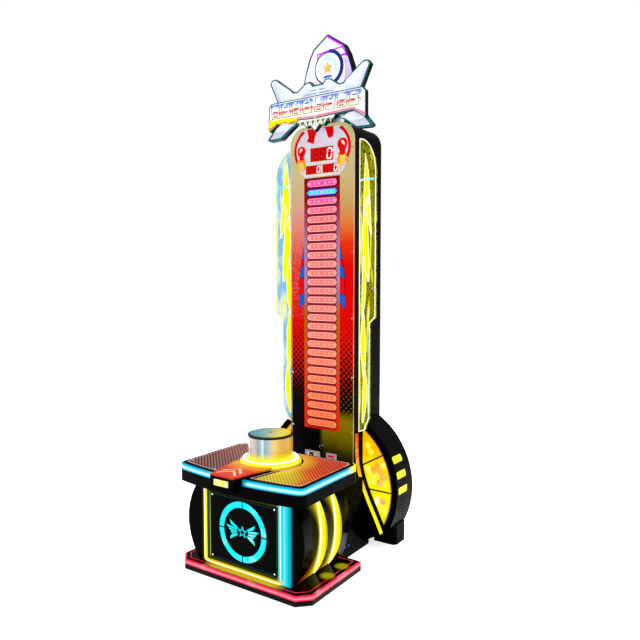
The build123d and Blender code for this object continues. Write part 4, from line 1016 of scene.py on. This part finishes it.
def glove_outline(x, z, size, side):
    """A rounded mitt: a fat upper ball, a thumb towards the middle and a narrow cuff."""
    ball = arc((0, 0.014), 0.036, -30, 215, 18)
    cuff = [(-0.020, -0.028), (-0.024, -0.052), (-0.010, -0.046), (0.004, -0.056),
            (0.016, -0.044), (0.022, -0.022)]
    return [(x + side * size * u, z + size * v) for u, v in ball + cuff]


def flame_outline(x, z, size, side):
    """A flame with three licks that hangs below a mitt."""
    points = ((-0.026, 0.030), (0.020, 0.032), (0.034, 0.006), (0.024, -0.004),
              (0.040, -0.030), (0.016, -0.022), (0.010, -0.050), (-0.002, -0.030),
              (-0.012, -0.074), (-0.018, -0.034), (-0.036, -0.058), (-0.028, -0.018),
              (-0.044, -0.012), (-0.028, 0.004))
    return [(x + side * size * u, z + size * v) for u, v in points]


def mitts():
    """Two mitts over flames, one each side of the displays."""
    spots = ((0.150, 2.432, 1.0, 1), (-0.152, 2.420, 0.86, -1))
    flames, embers, gloves, lights = [], [], [], []
    for x, z, size, side in spots:
        flames.append(flame_outline(x, z - 0.066, size * 1.1, side))
        embers.append(flame_outline(x + side * 0.002, z - 0.074, size * 0.62, side))
        gloves.append(glove_outline(x, z, size, side))
        lights.append([(x + side * size * u, z + size * v) for u, v in
                       ((-0.010, 0.034), (0.004, 0.036), (0.018, 0.018), (0.018, 0.004),
                        (0.004, 0.010), (-0.006, 0.022))])
        for du, dv in ((0.020, -0.118), (-0.016, -0.124), (0.038, -0.096)):
            flames.append([(x + side * (du + 0.010), z + dv + 0.008),
                           (x + side * (du - 0.008), z + dv - 0.010),
                           (x + side * (du - 0.004), z + dv - 0.002)])
    inlay("art_flames", flames, 0.0008, on_tower, orange_film)
    inlay("art_embers", embers, 0.0012, on_tower, gold_film)
    inlay("art_mitts", gloves, 0.0016, on_tower, red_film,
          round_over=0.0004)
    inlay("art_mitt_lights", lights, 0.0021, on_tower, cream_film)


def side_stripes():
    """Blue and red stepped stripes on black, growing out from the lamp column."""
    levels = (1.841, 1.760, 1.722, 1.656, 1.556)
    widths = (0.000, 0.018, 0.024, 0.033, 0.036)
    slopes = (0.0, 0.004, 0.010, 0.018, 0.022)
    gap = 0.003
    start = frame_half + 0.0006
    backing = [(start, 1.851), (start + 0.0205, 1.760), (start + 0.036, 1.652),
               (start + 0.0385, 1.56), (start + 0.0385, 1.448), (start, 1.487)]
    bands = [[(start, levels[0] - 0.006), (start + widths[1], levels[1] - gap),
              (start, levels[1] + 0.001)]]
    for k in (1, 2, 3):
        top, foot = levels[k], levels[k + 1]
        bands.append([(start, top - gap), (start + widths[k] - 0.0005, top - slopes[k] - gap),
                      (start + widths[k + 1], foot - slopes[k + 1] + 0.001),
                      (start, foot + 0.001)])
    bands.append([(start, levels[4] - gap), (start + 0.0355, levels[4] - slopes[4] - gap),
                  (start + 0.0355, 1.456), (start, 1.490)])
    inlay("stripe_backing", pair(backing), 0.0004, on_tower, black_film)
    for name, picks, film in (("stripes_blue", (0, 2, 4), blue_film),
                              ("stripes_red", (1, 3), red_film)):
        inlay(name, [band for k in picks for band in pair(bands[k])], 0.0008,
              on_tower, film)


def lamp_rims():
    """Black moulded rims round the lamp lenses."""
    rims = [capsule((0, lamp_first + lamp_pitch * k), 2 * lamp_half + 0.0100, lamp_tall + 0.0100)
            for k in range(lamp_count)]
    inlay("lamp_rims", rims, 0.0014, on_tower, black_film, rim=0.0048,
          round_over=0.0004)


def digit(centre, tall, lit):
    """The segments of one figure; lit gives those that glow."""
    wide, thick = tall * 0.52, tall * 0.115
    (x, z), half, reach = centre, tall / 2, wide / 2
    lean = 0.10
    bars = {"top": (0, half, 0), "middle": (0, 0, 0), "foot": (0, -half, 0),
            "upper_left": (-reach, half / 2, 1), "upper_right": (reach, half / 2, 1),
            "lower_left": (-reach, -half / 2, 1), "lower_right": (reach, -half / 2, 1)}
    made = {True: [], False: []}
    for name, (u, v, standing) in bars.items():
        length = (half if standing else wide) - thick * 0.4
        tips = [(-length / 2, 0), (-length / 2 + thick / 2, thick / 2),
                (length / 2 - thick / 2, thick / 2), (length / 2, 0),
                (length / 2 - thick / 2, -thick / 2), (-length / 2 + thick / 2, -thick / 2)]
        if standing:
            tips = [(b, -a) for a, b in tips]
        made[name in lit].append([(x + u + a + lean * (v + b), z + v + b) for a, b in tips])
    return made


def displays():
    """Segment figures and black bezels of the three score windows."""
    zero = ("top", "foot", "upper_left", "upper_right", "lower_left", "lower_right")
    lit, dark = [], []
    main, others, count = (0, 2.401), ((-0.063, 2.311), (0.063, 2.311)), 3
    for (window_x, window_z), tall, pitch in ((main, 0.060, 0.050),
                                              *((other, 0.038, 0.034) for other in others)):
        for k in range(count):
            offset = (k - (count - 1) / 2) * pitch + pitch * 0.12
            shapes = digit((window_x + offset, window_z), tall, zero if k == count - 1 else ())
            lit += shapes[True]
            dark += shapes[False]
    face = low("score_displays").y
    inlay("digits_lit", lit, 0.0008, upright(face), digit_lit)
    inlay("digits_dark", dark, 0.0004, upright(face), digit_dark)
    bezels = [box_outline(main, 0.176, 0.091), *(box_outline(o, 0.120, 0.061) for o in others)]
    shadows = [box_outline(main, 0.170, 0.085), *(box_outline(o, 0.115, 0.056) for o in others)]
    inlay("display_bezels", bezels, 0.0024, on_tower, cream_film,
          rim=0.0036, round_over=0.0005)
    inlay("display_shadows", shadows, 0.0012, on_tower, black_film,
          rim=0.0022)


def coin_trim():
    """Slot bezel, arrows and rims on the coin and card plates."""
    face = low("coin_plate").y
    for node in ("coin_plate", "card_plate"):
        middle, size = (low(node) + high(node)) / 2, high(node) - low(node)
        edge = box_outline((middle.x, middle.z), size.x - 0.003, size.z - 0.003)
        inlay(f"{node}_rim", [edge], 0.0010, upright(face),
              glowing(f"{node}_rim_film", "8c70b0", 0.4, "b8a0c8", 40),
              rim=0.0028, round_over=0.0003)
    inlay("coin_slot_bezel", [box_outline((-0.080, 0.518), 0.040, 0.040)], 0.003, upright(face),
          chrome, rim=0.014, round_over=0.001)
    inlay("coin_slot_arrow", [[(-0.108, 0.486), (-0.092, 0.478), (-0.092, 0.494)],
                              box_outline((-0.084, 0.486), 0.014, 0.005)],
          0.0006, upright(face), red_film)
    inlay("card_reader_window", [box_outline((0.073, 0.532), 0.050, 0.014)], 0.0010, upright(face),
          red_film, round_over=0.0003)
    inlay("card_reader_frame", [box_outline((0.073, 0.510), 0.058, 0.014)], 0.0022, upright(face),
          black_film, rim=0.0050, round_over=0.0006)
    coin_spots = [(x, face, z) for x in (-0.121, -0.019) for z in (0.462, 0.542)]
    card_spots = [(x, face, z) for x in (0.041, 0.105) for z in (0.476, 0.544)]
    screw_heads("plate_screws", coin_spots + card_spots, (0, -1, 0), 0.0032)
    inlay("lock_collar", [arc((0.002, 0.583), 0.0165, 0, 360, 32)[:-1]], 0.003,
          on_tower, chrome, rim=0.0045, round_over=0.0008)


# ------------------------------------------------------------------ wings, flare and fairing
wing_lean = math.radians(14)
wing_root_y = 0.3525


def on_wing(side):
    """Places a drawing made outwards from a wing's root on the wing's front face."""
    out = Vector((side * math.cos(wing_lean), -math.sin(wing_lean), 0))
    ahead = Vector((-side * math.sin(wing_lean), -math.cos(wing_lean), 0))
    root = Vector((side * (tower_half + 0.004), wing_root_y, 0))
    wing = nodes["wing_right" if side > 0 else "wing_left"].data
    root += max((v.co - root).dot(ahead) for v in wing.vertices) * ahead
    return Matrix(((out.x, 0, ahead.x, root.x), (out.y, 0, ahead.y, root.y),
                   (0, 1, 0, 0), (0, 0, 0, 1)))


def wing_outline(inset):
    """Outline of one wing from its root outwards, drawn in by inset."""
    top, upper, lower = 2.474 - inset, 0.138 - inset, 0.092 - inset
    shoulder_z = 2.255
    shoulder = [(upper * math.sin(a), shoulder_z + (top - shoulder_z) * math.cos(a))
                for a in (math.radians(10 * k) for k in range(1, 10))]
    return [(0.002, top), *shoulder, (upper, 1.412), (lower, 1.372), (lower, 0.800 + inset),
            (0.050, 0.717 + inset), (0.002, 0.699 + inset)]


def wing_flames():
    """Tall printed flames on a wing's face: foot, height, middle, half width and bend of each."""
    tongues, steps = [], 12
    for foot, tall, u, wide, bend in (
            (1.96, 0.42, 0.040, 0.026, 0.020), (1.62, 0.50, 0.080, 0.028, -0.030),
            (1.40, 0.40, 0.030, 0.020, 0.012), (1.04, 0.42, 0.046, 0.026, -0.012),
            (0.76, 0.38, 0.034, 0.022, 0.018), (1.90, 0.26, 0.100, 0.016, -0.020)):
        right, left = [], []
        for k in range(steps + 1):
            s = k / steps
            fat = wide * math.sin(math.pi * min(1, s * 0.93 + 0.07)) ** 0.8
            sway = bend * math.sin(2.6 * s)
            right.append((u + sway + fat, foot + tall * s))
            left.append((u + sway - fat * 0.8, foot + tall * s))
        tongues.append(right + left[::-1])
    return tongues


def wings():
    """Lit edges, flames and small accents on both wings."""
    tongues = wing_flames()
    for side, label, edge in ((1, "right", clear_rim), (-1, "left", lemon_rim)):
        place = on_wing(side)
        inlay(f"wing_{label}_flame_edges", tongues, 0.0009, place, edge,
              rim=0.0042)
        inlay(f"wing_{label}_flames", tongues, 0.0005, place, flame_film)
        inlay(f"wing_{label}_lit_edge", [wing_outline(0.0)], 0.0016, place, edge,
              rim=0.0065, round_over=0.0005)
        accents = [[(u, z), (u + 0.014, z + 0.003), (u + 0.012, z + 0.012), (u - 0.002, z + 0.008)]
                   for u, z in ((0.020, 1.62), (0.104, 1.575), (0.032, 1.18))]
        inlay(f"wing_{label}_magenta", accents, 0.0012, place,
              glowing(f"wing_magenta_{label}", "ff50f0", 0.9, "ff90f4"))
        bars = [[(0.004, 2.215), (0.040, 2.224), (0.040, 2.236), (0.004, 2.228)],
                [(0.058, 2.226), (0.122, 2.216), (0.122, 2.228), (0.058, 2.238)]]
        inlay(f"wing_{label}_cyan", bars, 0.0012, place,
              glowing(f"wing_cyan_{label}", "60e0ff", 0.9, "d0ffff"))


def wing_channels():
    """Black extrusions along the wings' roots that hold them to the tower."""
    bm = bmesh.new()
    for side in (-1, 1):
        made = bmesh.ops.create_cube(bm, size=1.0)["verts"]
        bmesh.ops.scale(bm, verts=made, vec=(0.016, 0.030, 1.74))
        bmesh.ops.translate(bm, verts=made, vec=(side * (tower_half + 0.009), 0.378, 1.58))
        faces = [f for f in {f for v in made for f in v.link_faces} if abs(f.normal.x) > 0.9]
        bmesh.ops.inset_region(bm, faces=faces, thickness=0.005, depth=-0.002)
    keep(bm, "wing_root_channels", case, round_over=0.0012)


def hex_cells():
    """Raised six-sided cells across the fairing lenses."""
    size, face = 0.0245, low("fairing_lenses").y
    across, rise = 1.74 * size, 1.5 * size
    lens_radius, lens_foot, lens_seam = 0.450, 0.135, math.radians(30)
    corners = [(0.92 * size * math.sin(a), 0.92 * size * math.cos(a))
               for a in (math.radians(60 * k) for k in range(6))]
    cells = {"amber": [], "lemon": []}
    for row in range(-6, 22):
        for column in range(14):
            x = 0.20 + (column + (row % 2) / 2) * across
            z = 0.10 + row * rise
            radius = math.hypot(x, z - fairing_centre)
            turn = math.atan2(z - fairing_centre, x)
            from_seam = min(abs(turn), abs(turn - lens_seam)) * radius
            if (radius < lens_radius - size and x > tower_half + 0.013 + size
                    and z > lens_foot + size and from_seam > size + 0.006):
                warm_cell = math.sin(row * 12.9898 + column * 78.233) > (0.1 if z > 0.4 else 0.75)
                cells["amber" if warm_cell else "lemon"].append([(x + u, z + v)
                                                                 for u, v in corners])
    for shade, film in (("amber", amber_cell), ("lemon", comb_light)):
        inlay(f"fairing_cells_{shade}", pair(*cells[shade]), 0.0008, upright(face), film,
              round_over=0.0003)


def lens_trim():
    """Red pinstripe inside each lens's curved edge and the pale glare shapes."""
    face = low("fairing_lenses").y
    shapes = []
    for start, end in ((-26, -1.6), (1.6, 28.6), (31.4, 56)):
        shapes.append(arc((0, fairing_centre), 0.4475, start, end, 14)
                      + arc((0, fairing_centre), 0.4445, end, start, 14))
    inlay("lens_pinstripes", pair(*shapes), 0.0006, upright(face),
          red_film)
    glare = [[(0.340, 0.300), (0.362, 0.306), (0.372, 0.278), (0.352, 0.250), (0.338, 0.270)],
             [(0.352, 0.400), (0.362, 0.388), (0.384, 0.372), (0.370, 0.378)]]
    inlay("lens_glare_print", pair(*glare), 0.0010, upright(face),
          lemon_glare)
    bm, rim_radius = bmesh.new(), 0.471
    for side in (-1, 1):
        for turn in (-20, -8, 8, 20, 40, 52):
            angle = math.radians(turn)
            spot = (side * rim_radius * math.cos(angle), fairing_front - 0.001,
                    fairing_centre + rim_radius * math.sin(angle))
            peg(bm, spot, (0.0045, 0.003), 0.002, 90, "X", sides=14)
    keep(bm, "fairing_rivets", case, crease=50)


# ------------------------------------------------------------------ topper
def crown_outline():
    """The crown board's edge: two horns above, two feet below."""
    return whole(raised((
        (0, 231), (36, 231), (54, 256), (88, 255), (150, 213), (180, 213), (318, 315), (350, 313),
        (364, 291), (307, 169), (307, 63), (339, -1), (386, -56), (368, -68), (274, -64),
        (184, -1), (150, 23), (0, 23))))


def crown():
    """Outline, bent facets and centre bars of the crown board."""
    place = upright(crown_front)
    inlay("crown_outline", [crown_outline()], 0.0022, place, teal_line,
          rim=0.0080, round_over=0.0006)
    horn = raised(((200, 222), (318, 304), (300, 236), (262, 170), (190, 176)))
    shoulder = raised(((58, 246), (86, 245), (142, 208), (120, 176), (52, 190)))
    horn_edge = raised(((322, 306), (346, 304), (354, 290), (300, 172), (272, 166), (304, 232)))
    inlay("crown_facets_pale", pair(horn, shoulder), 0.0030, place, pale_facet,
          round_over=0.0008)
    inlay("crown_facets_shade", pair(horn_edge), 0.0024, place, grey_facet,
          round_over=0.0006)
    bars = [raised(((x - half, z), (x + half, z), (x + half + 4, z + 10), (x - half - 4, z + 10)))
            for z, half in ((196, 48), (176, 52)) for x in (-60, 60)]
    inlay("crown_centre_bars", bars, 0.0026, place, sky_film, round_over=0.0005)
    lights = [[(u * 0.94 + math.copysign(0.0036, u), v + 0.0035) for u, v in bar] for bar in bars]
    inlay("crown_centre_bar_lights", lights, 0.0012, place, white_film)


def fins():
    """The two swept fins below the banner: folded plates with a teal edge."""
    place = upright(crown_front)
    edge = raised(((140, 10), (292, 60), (300, 46), (330, -2), (374, -55), (364, -62), (276, -58),
                   (190, 0)))
    top = raised(((158, 12), (286, 52), (322, -4), (238, -12)))
    foot = raised(((240, -18), (324, -12), (362, -52), (282, -50)))
    inlay("fin_edges", pair(edge), 0.0085, place, teal_line, rim=0.0052,
          round_over=0.0008)
    inlay("fin_facets_pale", pair(top), 0.0060, place, pale_facet,
          round_over=0.0016)
    inlay("fin_facets_shade", pair(foot), 0.0042, place, grey_facet,
          round_over=0.0014)


def banner_trim():
    """Teal edge, pink rail, ornament and flame along the banner's foot."""
    place = upright(banner_front)
    edge = raised(((0, 158), (330, 158), (352, 135), (352, -9), (345, -17), (268, 35), (150, 27),
                   (132, 3), (96, 9), (64, -25), (34, -17), (0, -53)))
    inlay("banner_edge", [whole(edge)], 0.0020, place, teal_line, rim=0.0055,
          round_over=0.0006)
    rail = raised(((4, 30), (268, 42), (344, -6), (344, 12), (270, 52), (4, 41)))
    inlay("banner_pink_rail", pair(rail), 0.0040, place, pink_line,
          round_over=0.0008)
    fold = raised(((4, 22), (262, 33), (276, 27), (336, -10), (338, -6), (268, 40), (4, 29)))
    inlay("banner_teal_rail", pair(fold), 0.0030, place, teal_line,
          round_over=0.0006)
    teeth = []
    for k in range(14):
        u = -125 + k * 18.5
        drop = 22 + 14 * math.sin(k * 2.1) + 22 * (1 - abs(u) / 130)
        teeth.append(raised(((u - 9, 12), (u + 9, 14), (u + 4, 2), (u + 1, 10 - drop * 0.8),
                             (u - 6, 0))))
    inlay("banner_ornament_teal", teeth[::2], 0.0030, place, teal_line,
          round_over=0.0005)
    inlay("banner_ornament_bronze", teeth[1::2], 0.0040, place, cream_film,
          round_over=0.0005)
    flame = raised(((-352, 60), (-330, 52), (-300, 62), (-262, 46), (-214, 60), (-160, 40),
                    (-106, 50), (-128, 30), (-120, 16), (-168, 24), (-186, 12), (-222, 30),
                    (-262, 22), (-300, 26), (-332, -6), (-352, -8)))
    inlay("banner_flame", [flame], 0.0052, place, orange_film, round_over=0.0008)
    core = [(u * 0.93 - 0.018, tower_top + (v - tower_top) * 0.62 + 0.016) for u, v in flame]
    inlay("banner_flame_core", [core], 0.0060, place, flame_film)


def block_faces():
    """Rims and cut facets on each of the banner's eight blocks."""
    place = upright(block_front)
    middle = (block_low + block_high) / 2
    rims, cuts, gleams, slits = [], [], [], []
    block_count, block_pitch = 8, 0.080
    for k in range(block_count):
        centre = (k - (block_count - 1) / 2) * block_pitch
        slant = 0.010 if k < block_count / 2 else -0.010

        def leaned(points):
            return [(centre + u - slant * (v + 0.046) / 0.092, middle + v) for u, v in points]
        rims.append(leaned(box_outline((0, 0), 0.065, 0.085)))
        notch = 0.010 if k % 2 else -0.010
        slits.append(leaned(box_outline((0, 0.009 + notch), 0.040, 0.006)))
        slits.append(leaned(box_outline((-0.004, -0.019 + notch), 0.032, 0.006)))
        cuts.append(leaned([(0.006, 0.018), (0.026, 0.034), (0.026, -0.004), (0.014, -0.010)]))
        gleams.append(leaned([(-0.027, 0.020), (-0.008, 0.036), (0.004, 0.036), (-0.027, 0.010)]))
    inlay("block_rims", rims, 0.0016, place,
          glowing("block_rim_film", "8c5c70", 0.5, "2c6c80", 30), rim=0.0030)
    inlay("block_slits", slits, 0.0010, place,
          glowing("block_slit_film", "803060", 0.5, "40284c", 30))
    inlay("block_cuts", cuts, 0.0010, place,
          glowing("block_cut_film", "e8f0ff", 0.8, "a8c8ff", 30),
          round_over=0.0003)
    inlay("block_gleams", gleams, 0.0014, place, white_film, round_over=0.0003)


def bullet_trim():
    """Frame lines, ring and star of the light box behind the crown."""
    place = upright(bullet_front)
    edge = raised(((0, 562), (108, 489), (140, 431), (165, 358), (185, 283), (188, 223),
                   (165, 103), (118, 4), (0, 4)))
    inlay("bullet_outline", [whole(edge)], 0.0020, place, navy_line, rim=0.0065,
          round_over=0.0006)
    centre = (0, tower_top + 0.357)
    arch = arc(centre, 0.1085, 60, 138, 12) + arc(centre, 0.1025, 138, 60, 12)
    lines = [raised(points) for points in (
        ((-85, 448), (118, 464), (112, 472), (-85, 455)),
        ((-88, 405), (138, 414), (138, 426), (-88, 411)),
        ((10, 410), (16, 410), (16, 458), (10, 458)),
        ((-82, 408), (-78, 408), (-78, 450), (-82, 450)))]
    slope = raised(((0, 552), (100, 484), (132, 428), (140, 408), (133, 400), (122, 430),
                    (94, 476), (0, 538)))
    inlay("bullet_magenta_lines", [slope, arch] + lines, 0.0014, place, magenta_line)
    side = raised(((108, 400), (138, 404), (162, 345), (180, 275), (182, 224), (110, 224),
                   (124, 300), (124, 360)))
    inlay("bullet_lilac_side", [side], 0.0009, place, lilac_facet)
    inlay("bullet_left_side", [mirrored(side)], 0.0009, place, pale_facet)
    face = upright(low("topper_badge").y)
    inlay("badge_ring", [arc(centre, 0.0985, 0, 360, 72)[:-1]], 0.0030, place, navy_line,
          rim=0.0090, round_over=0.0010)
    shadow = arc(centre, 0.1130, -84, 84, 24) + arc((-0.003, centre[1]), 0.0990, 84, -84, 24)
    inlay("badge_side_shadow", [shadow], 0.0026, place, navy_line)
    inlay("badge_white_ring", [arc(centre, 0.0900, 0, 360, 72)[:-1]], 0.0052, place, white_film,
          rim=0.0085, round_over=0.0016)
    crescent = (arc(centre, 0.070, -20, 160, 20)
                + arc((-0.006, tower_top + 0.350), 0.056, 150, -14, 20))
    inlay("badge_ice_arc", [crescent], 0.0008, face, ice_film)
    inlay("badge_star_edge", [star_outline(centre, 0.042, 0.019)], 0.0010, face, pink_line)
    inlay("badge_star", [star_outline(centre, 0.034, 0.0145)], 0.0020, face, gold_film,
          round_over=0.0006)
    ribbon = raised(((-34, 300), (34, 300), (26, 312), (-26, 312)))
    inlay("badge_ribbon", [ribbon], 0.0014, face, blue_film, round_over=0.0004)


# ------------------------------------------------------------------ back of the machine
def back_trim():
    """Vent hoods, door frame, door pull and ribs, inlet label frame and fixings on the tower's
    back.
    """
    vent_middle = tower_top - 0.377
    bm = bmesh.new()
    for k in range(6):
        z = vent_middle + (k - 2.5) * 0.022
        made = peg(bm, (0, rear, z + 0.004), (0.0075, 0.0075), 0.178, 90, sides=20)
        hood = {*made, *(e for v in made for e in v.link_edges),
                *(f for v in made for f in v.link_faces)}
        bmesh.ops.bisect_plane(bm, geom=list(hood), plane_co=(0, rear + 0.0002, 0),
                               plane_no=(0, -1, 0), clear_outer=True)
    cut = [e for e in bm.edges if len(e.link_faces) == 1]
    bmesh.ops.holes_fill(bm, edges=cut, sides=0)
    keep(bm, "rear_vent_hoods", case, crease=40)
    door_middle, frame_wide, frame_tall = 1.115, 0.366, 1.596
    inlay("rear_door_frame", [box_outline((0, door_middle), frame_wide, frame_tall)], 0.003,
          on_back(rear), case, rim=0.0085, round_over=0.0008)
    spots = [(x, rear, z) for x in (-0.216, 0.216) for z in (0.20, 0.70, 1.20, 1.70, 2.20, 2.42)]
    screw_heads("rear_screws", spots, (0, 1, 0))
    inlay("rear_door_pull", [capsule((-0.140, 1.30), 0.016, 0.0159)], 0.002, on_back(rear),
          chrome, body="rear_door", round_over=0.0004)
    ribs = [box_outline((0, z), 0.260, 0.006) for z in (0.50, 0.56, 1.70, 1.76)]
    inlay("rear_door_ribs", ribs, 0.0022, on_back(rear), case, body="rear_door",
          round_over=0.0009)
    inlay("inlet_frame_label", [box_outline((-0.150, 0.110), 0.070, 0.046)], 0.0012, on_back(rear),
          unit, rim=0.0055, round_over=0.0003)


base_line()
panel_trim()
ring_trim()
carcass_marks()
deck_trim()
tongue_trim()
drum_liner()
return_spring()
flange_trim()
tower_border()
art_field()
mitts()
side_stripes()
lamp_rims()
displays()
coin_trim()
wings()
wing_channels()
hex_cells()
lens_trim()
crown()
fins()
banner_trim()
block_faces()
bullet_trim()
back_trim()


# ------------------------------------------------------------------ room, light and camera
def pale_floor():
    """Plain white sheet that the machine stands on."""
    bm = bmesh.new()
    bmesh.ops.create_grid(bm, x_segments=2, y_segments=2, size=14)
    data = bpy.data.meshes.new("pale_floor")
    bm.to_mesh(data)
    bm.free()
    m = Finish("floor_paper", "f4f4f4", 0.75, shine=0.1)
    m.light("ffffff", 0.72)
    m.colour(m.layer("f8f8f8", "f4f4f4", m.span(m.noise(40, 2), 0.4, 0.6)))
    data.materials.append(m.paint)
    floor = bpy.data.objects.new("pale_floor", data)
    bpy.context.scene.collection.objects.link(floor)


def soft_lamp(name, spot, aim, size, power):
    """Round soft light at spot, turned towards aim."""
    data = bpy.data.lights.new(name, "AREA")
    data.shape, data.size, data.energy = "DISK", size, power
    lamp = bpy.data.objects.new(name, data)
    lamp.location = spot
    lamp.rotation_euler = (Vector(aim) - Vector(spot)).to_track_quat("-Z", "Y").to_euler()
    bpy.context.scene.collection.objects.link(lamp)


def camera():
    """Standing player's view from the machine's front right."""
    data = bpy.data.cameras.new("view")
    data.lens, data.sensor_width = 35.98, 36.0
    data.clip_end = 60
    eye = bpy.data.objects.new("view", data)
    downwards, leftwards = math.radians(3.5168), math.radians(34.2626)
    eye.location = (2.2284, -2.9951, 1.6263)
    eye.rotation_euler = (math.pi / 2 - downwards, 0, leftwards)
    bpy.context.scene.collection.objects.link(eye)
    bpy.context.scene.camera = eye


def sky():
    """Even white room that lights the machine more softly than it looks."""
    world = bpy.data.worlds.new("white_room")
    world.use_nodes = True
    room = world.node_tree.nodes["Background"]
    room.inputs["Color"].default_value = (1, 1, 1, 1)
    seen = world.node_tree.nodes.new("ShaderNodeLightPath").outputs["Is Camera Ray"]
    level = world.node_tree.nodes.new("ShaderNodeMapRange")
    level.inputs["To Min"].default_value = 0.34
    world.node_tree.links.new(seen, level.inputs["Value"])
    world.node_tree.links.new(level.outputs[0], room.inputs["Strength"])
    bpy.context.scene.world = world


pale_floor()
soft_lamp("overhead_light", (0.4, -0.6, 6.5), (0, 0, 0), 5.0, 420)
soft_lamp("rear_light", (-2.6, 4.6, 3.6), (0, 0.5, 1.2), 2.6, 150)
soft_lamp("key_light", (3.2, -3.4, 3.8), (0, 0, 1.2), 1.6, 60)
camera()
sky()
bpy.context.scene.view_settings.view_transform = "Standard"
